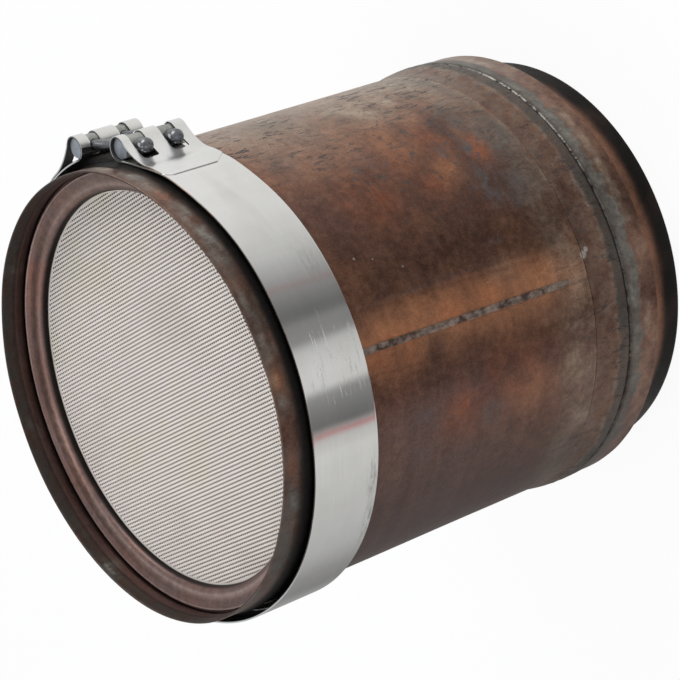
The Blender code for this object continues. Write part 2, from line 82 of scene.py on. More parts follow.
# The strap clamp, in millimetres
BAND_INNER = 158.475
BAND_THICKNESS = 1.2
BAND_TOP = 339.1
BAND_BOTTOM = 288.3
BAND_MIDDLE = 313.7
BAR_RADIUS = 7.2
BAR_HEIGHT = 47.4
LOOP_CLEARANCE = 0.2
LATCH_ANGLE = 45.0
BAR_SPREAD = 17.7
TIGHT_RADIUS = 155.175
FREE_RADIUS = 159.875
BOLT_HEIGHTS = {"front": 327.1, "rear": 303.1}
BOLT_RADIUS = 3.6
NUT_RADIUS = 5.0
NUT_LENGTH = 12.0
SLOT_REACH = 21.5
SLOT_FLOOR = 6.9
NUT_SLOT_WIDTH = 12.0
BOLT_SLOT_WIDTH = 8.4

# Honeycomb
CELL_PITCH = 1.796
OPEN_CELL = 1.51
CELL_TURN = 14.2
WELL_DEPTH = 6.0


# Coats round the can: (angle in degrees, strength) marks
WARM_ROUND = [
    (-180, 0.45), (-150, 0.25), (-120, 0.15), (-90, 0.08), (-66, 0.12), (-58, 0.20), (-52, 0.42),
    (-46, 0.90), (-39, 1.0), (-34.5, 0.85), (-32.5, 0.55), (-27, 0.46), (-20, 0.20), (-10, 0.03),
    (-3, 0.10), (4, 0.40), (10, 0.78), (17, 1.0), (40, 0.8), (70, 0.45), (100, 0.60), (135, 0.25),
    (160, 0.55),
]
# Along the top, these ash marks also paint the sheen where the key light falls.
ASH_AND_SHEEN_ROUND = [
    (-180, 0.05), (-40, 0.0), (4, 0.0), (11, 0.10), (18, 0.28), (24, 0.55), (29, 0.85), (45, 0.90),
    (60, 0.55), (80, 0.15), (150, 0.0),
]
PLUM_ROUND = [
    (-150, 0.7), (-110, 0.9), (-88, 0.75), (-74, 0.65), (-62, 0.80), (-56, 0.40), (-51, 0.0),
    (40, 0.0), (110, 0.2), (140, 0.6),
]
FRECKLED_ROUND = [
    (-180, 0.2), (-60, 0.05), (-33, 0.10), (-22, 0.45), (-8, 0.95), (10, 0.90), (20, 0.55), (40, 0.35),
    (90, 0.3),
]
UNDER_ROUND = [
    (-180, 0.20), (-120, 0.30), (-90, 0.30), (-76, 0.10), (-60, 0.0), (60, 0.0), (120, 0.15),
]
PITTED_ROUND = [
    (-70, 0.0), (-8, 0.05), (4, 0.35), (12, 0.80), (18, 1.0), (50, 1.0), (75, 0.4), (120, 0.1),
]
GOLD_ACROSS = [
    (-40, 0.0), (-8, 0.04), (-3.5, 0.22), (0, 0.55), (1.2, 0.95), (4.5, 0.90), (8.2, 0.45), (10, 0.0),
    (40, 0.0),
]
# How much light falls on the retaining ring round it: painted highlight on the lit side, painted shade on
# the dull side.
RING_LIT_ROUND = [
    (-150, 0.8), (-110, 0.85), (-60, 0.5), (20, 0.6), (70, 0.55), (95, 0.10), (135, 0.05), (155, 1.0),
]
# Painted shade round the rim towards the strap: strongest round the far side and beside the latch.
RIM_SHADE_ROUND = [
    (-150, 1), (-75, 1), (-50, 0.35), (-30, 0.1), (25, 0.1), (60, 0.8), (110, 1),
]

# Soft spots on the can: (angle, height, half angle, half height, strength)
WARM_SPOTS = [
    (8, 178, 9, 26, 0.95), (-6, 157, 6, 14, 0.60), (-65, 150, 8, 30, 0.45), (-46, 232, 4, 26, 1.0),
]
ASH_SPOTS = [
    (14, 108, 14, 20, 0.35), (-60, 108, 12, 14, 0.55), (-37, 101, 6, 12, 0.65), (-26, 101, 6, 9, 0.25),
    (140, 150, 30, 60, 0.3), (-160, 230, 26, 40, 0.25), (-35, 160, 3, 12, 0.25),
    (26, 165, 10, 34, 1.0),
]
GOLD_SPOTS = [
    (10, 176, 6, 20, 0.45), (-8, 155, 5, 12, 0.35), (2, 232, 8, 20, 0.10), (-65, 150, 8, 20, 0.30),
    (-3, 124, 4, 8, 0.30), (95, 190, 16, 50, 0.4), (175, 140, 20, 40, 0.4), (14, 205, 6, 14, 0.35),
    (-46, 232, 3, 22, 0.30),
]
PLUM_SPOTS = [
    (8, 232, 6, 12, 0.40), (12, 260, 8, 16, 0.55), (-6, 266, 9, 16, 0.20), (-39, 152, 2.6, 9, 0.80),
    (-35, 200, 1.6, 12, 0.6), (5, 206, 7, 9, 0.5), (-35, 270, 3, 16, 0.4), (-40, 225, 3, 6, 0.35),
    (-32.4, 215, 0.8, 45, 0.55),
]
RUST_SPOTS = [
    (-4.0, 123, 4.5, 8, 0.95), (3, 150, 8, 14, 0.35), (-8, 225, 8, 24, 0.34), (-65, 207, 7, 18, 0.45),
    (-45, 262, 5, 24, 0.35), (-40, 190, 5, 30, 0.30), (-2, 185, 8, 18, 0.16), (-60, 170, 7, 22, 0.30),
    (-9, 176, 5, 10, 0.35), (-33, 92, 4, 6, 0.50), (70, 130, 12, 30, 0.5), (-140, 170, 14, 40, 0.5),
    (120, 240, 18, 24, 0.4),
]
SLATE_SPOTS = [
    (-63.5, 245, 4.0, 10, 0.60), (-72.5, 247, 4.0, 10, 0.50), (-68, 187, 3.5, 13, 0.60),
    (-78, 205, 4.0, 20, 0.30), (-10.7, 140, 5.0, 9, 0.95), (-0.5, 151, 2.6, 5, 1.0),
    (-1.4, 131, 3.0, 6, 1.0), (-15.7, 136, 5.0, 9, 0.80), (1.4, 219, 1.8, 4, 0.85),
    (9.6, 120, 6.0, 8, 0.85), (-7.9, 285.5, 1.4, 3, 1.0), (-28, 155, 1.0, 7, 0.90),
    (-13, 118, 9.0, 13, 0.80), (-2, 108, 9.0, 9, 0.65), (40, 96, 14, 10, 0.50),
    (-50, 128, 2.5, 9, 0.35), (-19, 122, 6.0, 8, 0.60), (80, 260, 8, 14, 0.6),
    (-150, 110, 10, 20, 0.6), (170, 210, 8, 14, 0.5),
]
GRIME_SPOTS = [
    (22, 96, 12, 9, 0.45), (2, 97, 9, 7, 0.55), (-12, 104, 9, 9, 0.45), (30, 232, 8, 22, 0.35),
    (150, 110, 20, 14, 0.5),
]
# White dots on the can: (angle, height, radius)
CHALK_DOTS = [
    (-20.9, 264, 1.1), (-22.4, 251, 0.9), (-26.4, 232, 1.1), (-38.5, 88.0, 3.6), (-37.4, 84.4, 2.4),
]
# Soft spots on the rim: (angle, height, half angle, half height, strength)
PATINA_SPOTS = [
    (24, 350, 3.5, 5, 0.95), (7, 350, 4.5, 5, 1.0), (-3.2, 348.5, 5, 5, 1.0), (-9, 352, 3.5, 4, 0.70),
    (-47, 351.5, 2.2, 3.0, 0.85), (-21, 353, 4, 3, 0.45), (-33, 353, 4, 4, 0.50),
    (-72, 350, 3, 3, 0.40), (130, 352, 8, 5, 0.6), (-130, 350, 5, 4, 0.4),
]
RIM_GRIME_SPOTS = [
    (-12, 350, 5, 5, 0.75), (-24, 350, 5, 5, 0.50), (-72, 351, 5, 5, 0.60), (17, 348, 3, 6, 0.50),
    (-88, 352, 8, 5, 0.6), (30, 348, 3, 5, 0.40),
]
# At 20 and 35 degrees, under the latch, these are painted highlights on the rim's top edge; the others are
# ash.
RIM_ASH_AND_SHEEN_SPOTS = [
    (35, 353, 5, 5, 1.0), (20, 353, 5, 4, 0.75), (-41.5, 353, 2.2, 3, 0.5), (-36, 354, 4, 3, 0.45),
    (110, 352, 14, 5, 0.4),
]
RIM_RUST_SPOTS = [
    (-41.3, 350.5, 2.6, 3.0, 0.35), (13, 351, 5, 4, 0.60), (-16, 351, 4, 4, 0.40),
    (-53, 352, 4, 4, 0.40), (-62, 351, 4, 4, 0.45), (-67, 350, 2.5, 3, 0.60), (-80, 352, 6, 5, 0.30),
    (90, 352, 9, 5, 0.4), (-160, 352, 9, 5, 0.4),
]
RIM_GOLD_SPOTS = [
    (-41.3, 352, 2.6, 4.0, 1.0), (14, 352, 4, 3, 0.25), (-62, 352, 3, 3, 0.20),
]


# Lines and sections


def smooth_line(points, step):
    """A curve through the points: each stretch is the cubic whose end slopes are half the chord between the
    two neighbours, sampled about every step millimetres."""
    p = np.asarray(points, float)
    ends = np.vstack([2 * p[0] - p[1], p, 2 * p[-1] - p[-2]])
    line = []
    for a, b, c, d in zip(ends, ends[1:], ends[2:], ends[3:]):
        count = max(2, int(np.ceil(np.hypot(*(c - b)) / step)))
        t = (np.arange(count) / count)[:, None]
        square = (2 * a - 5 * b + 4 * c - d) * t**2
        cube = (3 * b - a - 3 * c + d) * t**3
        line.append(0.5 * (2 * b + (c - a) * t + square + cube))
    return np.vstack([*line, p[-1:]])


def side_of(line):
    """Unit vectors to the right of the line's direction of travel, at each of its points."""
    run = np.gradient(line, axis=0)
    run /= np.linalg.norm(run, axis=1)[:, None]
    return np.stack([run[:, 1], -run[:, 0]], 1)


def sheet_section(outer, wall, step=1.2, spare=3, round_off=0.3):
    """Closed section of a pressed sheet: the smooth outer line, given from its top down, and the same
    line moved inwards by the wall, with one point kept of every spare ones. Both end edges are rounded
    by half an ellipse, as far as the round_off share of the wall."""
    line = smooth_line(outer, step)
    inward = side_of(line)
    inner = line + wall * inward
    turn = np.linspace(0, math.pi, 5)[1:-1, None]
    kept = np.unique(np.append(np.arange(0, len(inner), spare), len(inner) - 1))

    def edge(k, along):
        middle = (line[k] + inner[k]) / 2
        return middle - np.cos(turn) * inward[k] * wall / 2 + np.sin(turn) * along * round_off * wall

    top = edge(0, (line[0] - line[1]) / np.hypot(*(line[0] - line[1])))
    foot = edge(-1, (line[-1] - line[-2]) / np.hypot(*(line[-1] - line[-2])))
    return np.vstack([line[::-1], top, inner[kept], foot[::-1]])


def angles_round(step, fine=()):
    """Angles of the columns round the can, in degrees, with closer ones in each (from, to, step)
    stretch."""
    angles = set(np.round(np.arange(-180, 180, step), 4))
    for low, high, near in fine:
        angles = {a for a in angles if not low - 0.4 * step < a < high + 0.4 * step}
        angles |= set(np.round(np.arange(low, high, near), 4))
    return np.array(sorted(angles))


# Fields over the can's angle (degrees) and height (millimetres)


def turn_between(angle, centre):
    """The signed angle from centre, in degrees, from -180 to 180."""
    return (angle - centre + 180) % 360 - 180


def patch(angle, z, centre, height, half_angle, half_height):
    """A soft spot: e to the minus squared distance, in half widths, from its centre."""
    return np.exp(-((turn_between(angle, centre) / half_angle) ** 2) - ((z - height) / half_height) ** 2)


def patches(angle, z, spots):
    """The strongest of several soft spots (angle, height, half angle, half height, strength) at each
    point."""
    total = np.zeros(np.broadcast(angle, z).shape)
    for centre, height, half_angle, half_height, strength in spots:
        total = np.maximum(total, strength * patch(angle, z, centre, height, half_angle, half_height))
    return total


def round_profile(angle, marks):
    """A value that depends only on the angle: straight between (angle, value) marks, and closed round
    the can."""
    turns, values = np.array(marks, float).T
    return np.interp(angle, turns, values, period=360)


def step_up(value, low, high):
    """A smooth step from 0 at low to 1 at high."""
    t = np.clip((value - low) / (high - low), 0, 1)
    return t * t * (3 - 2 * t)


def ripple(angle, z, seed, around, along, waves=26):
    """Even random waves about zero: a sum of cosines with whole wave numbers up to `around` round the
    can and wavelengths down to `along` millimetres up it. The same seed gives the same waves."""
    random = np.random.default_rng(seed)
    total = 0.0
    for _ in range(waves):
        whole = random.integers(0, around + 1)
        pace = random.uniform(-1, 1) * math.tau / along
        total = total + np.cos(np.radians(angle) * whole + pace * z + random.uniform(0, math.tau))
    return total / math.sqrt(waves / 2)


def along_shell(turn):
    """An angle in degrees as a length round the shell's face, in millimetres."""
    return turn * math.radians(1) * SHELL_OUTER


def from_press_mark(angle):
    """Degrees from the nearest of the eight marks that the press left inside the rim, 45 degrees apart."""
    return (angle + 22.5 - 7) % 45 - 22.5


def without(fields, *names):
    """Sets the coats that a piece doesn't have to nothing."""
    for name in names:
        fields[name] = 0 * fields["warm"]


def seam_angle(z):
    """The weld seam runs almost along the can, a degree and a half round over its length."""
    return -43.8 + 1.6 * (z - 87) / 196


# Meshes


def quads(columns, rows, closed_columns, closed_rows):
    """Corner numbers of the quads of a grid that is stored column by column."""
    index = np.arange(columns * rows).reshape(columns, rows)
    if closed_columns:
        index = np.vstack([index, index[:1]])
    if closed_rows:
        index = np.hstack([index, index[:, :1]])
    return np.stack([index[:-1, :-1], index[1:, :-1], index[1:, 1:], index[:-1, 1:]], -1).reshape(-1, 4)


def new_piece(name, points, faces, fields=None, sharp=40.0):
    """An object from points in millimetres; each field becomes a number on every point."""
    mesh = bpy.data.meshes.new(name)
    mesh.from_pydata((np.asarray(points).reshape(-1, 3) * MM).tolist(), [], [list(f) for f in faces])
    for label, values in (fields or {}).items():
        layer = mesh.attributes.new(label, "FLOAT", "POINT")
        layer.data.foreach_set("value", np.clip(values, 0, 1).astype(np.float32).ravel())
    mesh.validate()
    mesh.shade_smooth()
    mesh.set_sharp_from_angle(angle=math.radians(sharp))
    obj = bpy.data.objects.new(name, mesh)
    bpy.context.scene.collection.objects.link(obj)
    return obj


def carried_round(name, section, angles, press=None, wear=None, arc=False):
    """A closed section of (radius, height) carried round Z: the point at angle a is (r cos a, r sin a,
    z).

    press(angle, radius, height) may dent it, and wear(angle, height, radius) gives its fields from the
    shape before that. An arc is open between its first and last angle and has a cap at each end.
    """
    section = np.asarray(section, float)
    area = np.sum(section[:, 0] * np.roll(section[:, 1], -1) - np.roll(section[:, 0], -1) * section[:, 1])
    if area < 0:
        section = section[::-1]
    angle = np.repeat(np.asarray(angles)[:, None], len(section), 1)
    radius = np.repeat(section[None, :, 0], len(angles), 0)
    height = np.repeat(section[None, :, 1], len(angles), 0)
    fields = wear(angle, height, radius) if wear else None
    if press:
        radius, height = press(angle, radius, height)
    turn = np.radians(angle)
    points = np.stack([radius * np.cos(turn), radius * np.sin(turn), height], -1)
    columns, rows = angle.shape
    faces = quads(columns, rows, not arc, True).tolist()
    if arc:
        faces.append(list(range(rows))[::-1])
        faces.append(list(range((columns - 1) * rows, columns * rows)))
    return new_piece(name, points, faces, fields)


def lathed(name, profile, steps, origin=(0, 0, 0), direction=(0, 0, 1)):
    """A small solid turned about its own axis from (radius, height) points that start and end on the
    axis."""
    p = np.asarray(profile, float)
    turn = np.arange(steps) * math.tau / steps
    points = np.stack(
        [
            np.outer(np.cos(turn), p[:, 0]),
            np.outer(np.sin(turn), p[:, 0]),
            np.repeat(p[None, :, 1], steps, 0),
        ],
        -1,
    )
    basis = Vector(direction).to_track_quat("Z", "Y").to_matrix()
    points = points.reshape(-1, 3) @ np.array(basis).T + np.array(origin)
    faces = quads(steps, len(p), True, False).tolist()
    piece = new_piece(name, points, faces)
    work = bmesh.new()
    work.from_mesh(piece.data)
    bmesh.ops.remove_doubles(work, verts=work.verts, dist=1e-7)
    bmesh.ops.recalc_face_normals(work, faces=work.faces)
    work.to_mesh(piece.data)
    work.free()
    piece.data.shade_smooth()
    piece.data.set_sharp_from_angle(angle=math.radians(40))
    return piece


def bake_modifiers(piece):
    """Puts the result of a piece's modifiers into its own mesh."""
    graph = bpy.context.evaluated_depsgraph_get()
    mesh = bpy.data.meshes.new_from_object(piece.evaluated_get(graph))
    piece.modifiers.clear()
    piece.data = mesh


def soften_edges(piece, width, least):
    """A bevel, its width in millimetres, on edges that turn by more than the least angle in degrees."""
    soft = piece.modifiers.new("Edges", "BEVEL")
    soft.width = width * MM
    soft.segments = 2
    soft.limit_method = "ANGLE"
    soft.angle_limit = math.radians(least)


def belongs(piece, slot, *nodes):
    """The piece rides on the one body and stands for these CAD nodes, which it hides. The slot is not used.
    """
    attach(piece, "root")
    if nodes:
        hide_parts(*nodes)


# The can


def can_wear(angle, z, radius):
    """How heat and dirt have coloured the can, with painted sheen and shade in places, each coat as a soft
    field from 0 to 1.

    From the front the tint runs from umber over copper to gold beside the weld, and plum behind it. Ash
    lies near the collar, and along the top the pale coat is ashen and a painted sheen where the key light
    falls. A thin line of painted shade lies along the lower crease. The marks give where each coat is
    strong round the can, and a slow ripple in the angle keeps its border from being straight.
    """
    across = turn_between(angle, seam_angle(z))
    wander = 3.2 * ripple(angle, z, 3, 7, 120) * (1 - np.exp(-((across / 16) ** 2)))
    near = angle + wander
    uneven = 1 + 0.24 * ripple(angle, z, 4, 30, 26)
    low = 1 - step_up(z, 106, 128)
    fields = {
        "warm": round_profile(near, WARM_ROUND) * uneven * (1 - 0.35 * low),
        # Ash near the collar, and a painted sheen along the lit top.
        "ash": round_profile(near, ASH_AND_SHEEN_ROUND) * (1 - 0.45 * step_up(z, 258, 292)) + 0.36 * low * uneven,
        "plum": round_profile(near, PLUM_ROUND) * (0.30 + 0.70 * step_up(z, 140, 215)),
        "gold": round_profile(across, GOLD_ACROSS) * (1 - 0.7 * step_up(-z, -112, -92)) * uneven,
        "freckled": round_profile(near, FRECKLED_ROUND) * (1 - 0.7 * step_up(z, 190, 270)),
    }
    fields["warm"] = np.maximum(fields["warm"], patches(angle, z, WARM_SPOTS) * uneven)
    fields["ash"] = np.maximum(fields["ash"], patches(angle, z, ASH_SPOTS) * uneven)
    fields["gold"] = np.maximum(fields["gold"], patches(angle, z, GOLD_SPOTS) * uneven)
    fields["plum"] = np.maximum(fields["plum"], patches(angle, z, PLUM_SPOTS) * uneven)
    fields["rust"] = patches(angle, z, RUST_SPOTS) * uneven
    fields["slate"] = patches(angle, z, SLATE_SPOTS) * uneven
    fields["grime"] = patches(angle, z, GRIME_SPOTS) * uneven
    fields["pitted"] = np.maximum(round_profile(near, PITTED_ROUND), 0.5 * low) * step_up(z, 80, 92)
    # The patch at -52.5 degrees is a thin line of painted shade along the lower crease.
    fields["soot"] = round_profile(near, UNDER_ROUND) + patches(angle, z, [(-52.5, 130, 1.2, 70, 0.30)])
    width = np.abs(along_shell(across))
    fading = 1 - 0.75 * step_up(-z, -118, -98)
    fields["weld"] = (1 - step_up(width, 1.6, 3.1)) * fading * (z > 88) * (radius > 152)
    without(fields, "oxide", "chalk", "rubbed")
    return fields


def press_shell(angle, radius, z):
    """Long faint waves, two bends along the sheet and the raised weld bead, on the outer face only."""
    outside = radius > SHELL_OUTER - 0.5
    across = along_shell(turn_between(angle, seam_angle(z)))
    lumps = 1 + 0.25 * ripple(angle * 6, z, 11, 90, 2.6) + 0.30 * ripple(angle * 4, z, 12, 60, 5)
    undercut = 0.12 * np.exp(-(((np.abs(across) - 3.3) / 0.7) ** 2))
    bead = 0.30 * np.exp(-((across / 2.2) ** 4)) * lumps - undercut
    bead = bead * step_up(z, 89, 93) * (0.35 + 0.65 * step_up(z, 96, 120))
    lower = along_shell(turn_between(angle, -48.8 - 4.6 * (284 - z) / 190))
    upper = along_shell(turn_between(angle, -32.7 - 1.3 * (276 - z) / 82))
    creases = -0.20 * np.exp(-((lower / 1.5) ** 2))
    creases = creases - 0.16 * np.exp(-((upper / 1.2) ** 2)) * step_up(z, 92, 110)
    flats = -0.10 * np.exp(-(((lower + 9) / 6) ** 2))
    waves = 0.05 * ripple(angle, z, 7, 9, 130) + 0.02 * ripple(angle, z, 8, 30, 40)
    spots = [(-27.5, 155, 1.3, 5, 1), (-63, 238, 6, 12, 0.4), (20, 150, 8, 20, 0.5)]
    dents = -0.35 * patches(angle, z, spots)
    return radius + outside * (bead + creases + flats + waves + dents), z


def make_shell():
    """The wrapped outer sheet with its one weld seam."""
    line = [(SHELL_OUTER, z) for z in np.linspace(SLEEVE_BOTTOM - GAP - 0.5, COLLAR_TOP + 0.5, 12)]
    section = sheet_section(line, SHEET, 1.8, 6, 0.15)
    angles = angles_round(0.9, [(-56, -31, 0.5), (-45.6, -40.4, 0.16)])
    piece = carried_round("shell_sheet", section, angles, press_shell, can_wear)
    belongs(piece, "heat_tinted_steel", "outer_shell")
    return piece


def rim_push(angle, z):
    """How far the used rim is pushed back: most at -35 degrees, and nothing below the bead."""
    most = RIM_PUSH * np.cos(np.radians(np.clip(turn_between(angle, -35) * 1.15, -90, 90))) ** 2
    return most * step_up(z, 341, 352)


def inlet_wear(angle, z, radius):
    """The inlet flange: painted shade inside the rim, and outside it grey-brown with pale green and rust,
    with painted shade darkening it to black towards the strap and under the latch, and painted highlights
    on its top edge."""
    fields = can_wear(angle, z, radius)
    uneven = 1 + 0.25 * ripple(angle, z, 23, 40, 14) + 0.20 * ripple(angle, z, 24, 110, 7)
    inside = (radius < RIM_RADIUS - 0.6) & (z > 341) | (radius < 151.6)
    outside = 1.0 - inside
    # Where the latch's painted shadow falls on the rim below it.
    latch = np.exp(-((turn_between(angle, 45) / 15) ** 4))
    upper = step_up(z, 350, 353)
    seen = z - rim_push(angle, z)
    press_mark = np.exp(-((from_press_mark(angle) / 2.2) ** 2) - ((z - 350) / 5) ** 2)
    # Painted shade, darker towards the strap and more so round the far side and beside the latch.
    dark = 1 - step_up(z, 340.0, 349.5 + 2.5 * round_profile(angle, RIM_SHADE_ROUND))
    clean = 1 - 0.95 * patches(angle, seen, RIM_GOLD_SPOTS)
    patina = 0.10 + patches(angle, seen, PATINA_SPOTS)
    fields["oxide"] = np.where(inside, 0.5 * press_mark, patina) * uneven * clean
    fields["rust"] = outside * patches(angle, seen, RIM_RUST_SPOTS) * uneven
    fields["gold"] = outside * patches(angle, seen, RIM_GOLD_SPOTS)
    fields["warm"] = np.where(inside, 0.05, 0.35 * uneven)
    fields["plum"] = np.where(inside, 0.85 * (1 - upper), 0.10)
    # Grime, with more of it as painted shade round the far side and beside the latch.
    grime = 0.12 + 0.40 * round_profile(angle, RIM_SHADE_ROUND) + patches(angle, seen, RIM_GRIME_SPOTS)
    fields["grime"] = np.where(inside, 0.75 * upper, grime) * uneven * clean
    # Ash, and at 20 and 35 degrees painted highlights on the top edge.
    fields["ash"] = outside * patches(angle, seen, RIM_ASH_AND_SHEEN_SPOTS) * uneven
    # A thin line of painted shade at the step inside the rim.
    line = 0.25 * np.exp(-(((z - 351) / 0.8) ** 2))
    # Painted shade: inside the rim, towards the strap and under the latch.
    fields["soot"] = np.where(inside, 0.40 + line, np.maximum(dark, latch * (z < 349)))
    fields["pitted"] = 0.45 * outside
    fields["freckled"] = 0.35 * outside
    without(fields, "slate", "weld")
    # A painted highlight: a pale patch inside the rim at 188 degrees.
    fields["chalk"] = np.where(inside, 0.5 * patches(angle, z, [(188, 356, 3, 2, 0.8)]), 0.0)
    return fields


def press_rim(angle, radius, z):
    """The used rim isn't true: it is pushed back a little on one side and opened a little beside the latch.

    Its inner wall steps in a little, and eight shallow press marks lie just below that step.
    """
    upper = step_up(z, 341, 352)
    opened = RIM_OPENING * np.exp(-((turn_between(angle, 32) / 17) ** 2))
    waves = 0.16 * ripple(angle, z, 31, 14, 90)
    inner = (radius < RIM_RADIUS - 0.9) & (z > 340)
    step = 0.45 * inner * (1 - step_up(z, 349.6, 350.6)) * step_up(z, 342, 345)
    marks = 0.5 * inner * np.exp(-((from_press_mark(angle) / 1.3) ** 2) - ((z - 347) / 2.2) ** 2)
    return radius + upper * (opened + waves) - step + marks, z - rim_push(angle, z)


def make_inlet_flange():
    """The rim, the low bead behind it and the sleeve under the clamp, pressed in one piece."""
    top = LENGTH - 12
    flare = top - BEAD_Z
    rise = BEAD_OUTER - RIM_RADIUS
    fall = BEAD_OUTER - FLANGE_OUTER
    run_out = 2.2 * fall + 4
    line = [
        (RIM_RADIUS, LENGTH - 0.4),
        (RIM_RADIUS, LENGTH - 6),
        (RIM_RADIUS, top),
        (RIM_RADIUS + 0.15 * rise, top - 0.35 * flare),
        (RIM_RADIUS + 0.72 * rise, top - 0.74 * flare),
        (BEAD_OUTER, BEAD_Z),
        (FLANGE_OUTER + 0.45 * fall, BEAD_Z - 0.5 * run_out),
        (FLANGE_OUTER, BEAD_Z - run_out),
        (FLANGE_OUTER, SLEEVE_BOTTOM + 12),
        (FLANGE_OUTER, SLEEVE_BOTTOM + 0.4),
    ]
    section = sheet_section(line, FLANGE_SHEET, 0.8, 2)
    piece = carried_round("inlet_rim_sheet", section, angles_round(0.75), press_rim, inlet_wear)
    belongs(piece, "heat_tinted_steel", "inlet_flange")
    return piece


def collar_wear(angle, z, radius):
    """The collar: brown, with a dark grey-green band above the weld's crease, a paler one below it, and
    brown again with rubbed patches towards its edge. A thin painted highlight lies along the crease's top,
    and painted shade fills the crease and the collar's inner face."""
    fields = can_wear(angle, z, radius)
    uneven = 1 + 0.22 * ripple(angle, z, 41, 50, 16) + 0.16 * ripple(angle, z, 42, 120, 7)
    shift = 1.1 * ripple(angle, z, 44, 24, 200) + 1.1 * ripple(angle, z, 45, 110, 12)
    band = step_up(z + shift, 46.0, 52.0) * (1 - step_up(z + 0.5 * shift, 67.5, 73.0))
    below = step_up(z + shift, 46.0, 51.5) * (1 - step_up(z, 55.0, 60.0))
    border = np.exp(-(((z - 70.6 + 0.4 * shift) / 1.1) ** 2))
    crease = np.exp(-(((z - COLLAR_CREASE) / 1.7) ** 2))
    rubbed = np.exp(-(((z - 43.5) / 4.5) ** 2)) * step_up(ripple(angle, z, 43, 30, 60), -1.2, 0.6)
    fields["grime"] = np.maximum(0.92 * band, 0.34 * step_up(z, 70, 74) * uneven)
    pale_round = [(-80, 0.25), (-55, 0.75), (-10, 0.85), (10, 0.65), (25, 0.5), (120, 0.5)]
    pale = round_profile(angle, pale_round)
    fields["oxide"] = (pale * below + 0.35 * border) * (0.6 + 0.4 * uneven)
    fields["slate"] = 0.4 * fields["slate"]
    worn_sheen = round_profile(angle, [(-85, 0.2), (-60, 0.75), (-10, 0.85), (8, 0.35), (120, 0.3)])
    fields["ash"] = np.maximum(np.maximum(0.20, worn_sheen * rubbed), 0.45 * fields["ash"]) * uneven
    fields["rust"] = 0.12 * uneven * (1 - below)
    fields["warm"] = 0.34 * uneven
    fields["plum"] = 0.30 * (z < 50) * uneven
    # Painted shade in the weld's V crease and on the collar's inner face.
    fields["soot"] = np.maximum(0.80 * crease, 0.90 * (radius < 152.6))
    fields["pitted"] = 0.20 + 0.60 * step_up(z, 50, 66)
    fields["freckled"] = 0.25 + 0.35 * step_up(z, 68, 74)
    without(fields, "gold", "weld")
    # Painted highlight along the crease's top, brightest where light falls on it.
    lit_round = [(-70, 0.1), (-30, 0.25), (-12, 0.8), (15, 1.0), (28, 0.6), (45, 0.2), (150, 0.2)]
    lit = round_profile(angle, lit_round)
    fields["chalk"] = lit * np.exp(-(((z - 59.3) / 1.4) ** 2)) * uneven
    return fields


def press_collar(angle, radius, z):
    """A sharp V crease where the collar is welded round, its lumpy lips, and uneven beads."""
    outside = radius > 152.9
    sharp = -0.75 * np.exp(-np.abs((z - COLLAR_CREASE) / 0.9))
    lumps = 1 + 0.7 * ripple(angle, z, 51, 120, 9)
    lips = 0.16 * np.exp(-(((np.abs(z - COLLAR_CREASE) - 2.2) / 1.1) ** 2)) * lumps
    waves = 0.08 * ripple(angle, z, 52, 16, 40) + 0.03 * ripple(angle, z, 53, 60, 12)
    return radius + outside * (sharp + lips) + waves, z


def make_outlet_collar():
    """The collar at the outlet: a sleeve, a double bead with the weld's crease in it, and a proud edge."""
    run = COLLAR_TOP - COLLAR_EDGE
    shares = [(1.0, 0), (0.92, 0.02), (0.85, 0.05), (0.76, 0.36), (0.68, 0.70), (0.60, 0.90), (0.53, 0.97)]
    shares += [(0.487, 0.80), (0.43, 1.0), (0.34, 0.98), (0.26, 0.92), (0.13, 0.76), (0.007, 0.84)]
    line = [(FLANGE_OUTER + OUTLET_BEAD * b, COLLAR_EDGE + s * run - 0.2 * (s == 1.0)) for s, b in shares]
    section = sheet_section(line, FLANGE_SHEET, 0.9, 4, 0.15)
    piece = carried_round("outlet_collar_sheet", section, angles_round(0.75), press_collar, collar_wear)
    belongs(piece, "heat_tinted_steel", "outlet_collar")
    return piece


def lip_wear(angle, z, radius):
    """The outlet lip: brown at its shoulder, darkened by painted shade nearly to black over most of it,
    and a thin rubbed line at its end."""
    fields = can_wear(angle, z, radius)
    uneven = 1 + 0.06 * ripple(angle, z, 61, 30, 20)
    without(fields, "gold", "slate", "weld", "rust", "oxide", "freckled", "chalk", "plum", "grime")
    # Painted shade: the lip darkens nearly to black towards its end.
    fields["soot"] = (0.10 + 0.86 * (1 - step_up(z, 8, 19))) * uneven - 0.30 * (1 - step_up(z, 0.1, 1.0))
    fields["warm"] = 0.60 * uneven
    fields["ash"] = 0.20 * step_up(z, 18, 28) * uneven + 0.3 * (1 - step_up(z, 0.1, 1.0))
    fields["pitted"] = 0.10 + 0 * z
    return fields


def make_outlet_lip():
    """The outlet pilot ring: a sleeve in the collar, a shoulder and a necked lip that flares at its end."""
    sleeve = SHELL_INNER - GAP
    neck = PILOT_END_RADIUS - PILOT_NECK_DEPTH
    length = COLLAR_EDGE
    line = [
        (sleeve, PILOT_TOP - 0.4),
        (sleeve, 1.45 * length),
        (sleeve, 1.04 * length),
        (0.6 * sleeve + 0.4 * neck, 0.94 * length),
        (0.25 * sleeve + 0.75 * neck, 0.86 * length),
        (neck + 0.4, 0.75 * length),
        (neck, 0.66 * length),
        (neck + 0.08 * PILOT_NECK_DEPTH, 0.42 * length),
        (neck + 0.60 * PILOT_NECK_DEPTH, 0.18 * length),
        (PILOT_END_RADIUS, 0.05 * length),
        (PILOT_END_RADIUS, 0.4),
    ]
    section = sheet_section(line, FLANGE_SHEET, 1.2, 2)
    piece = carried_round("outlet_lip_sheet", section, angles_round(1.0), None, lip_wear)
    belongs(piece, "heat_tinted_steel", "outlet_pilot_ring")
    return piece


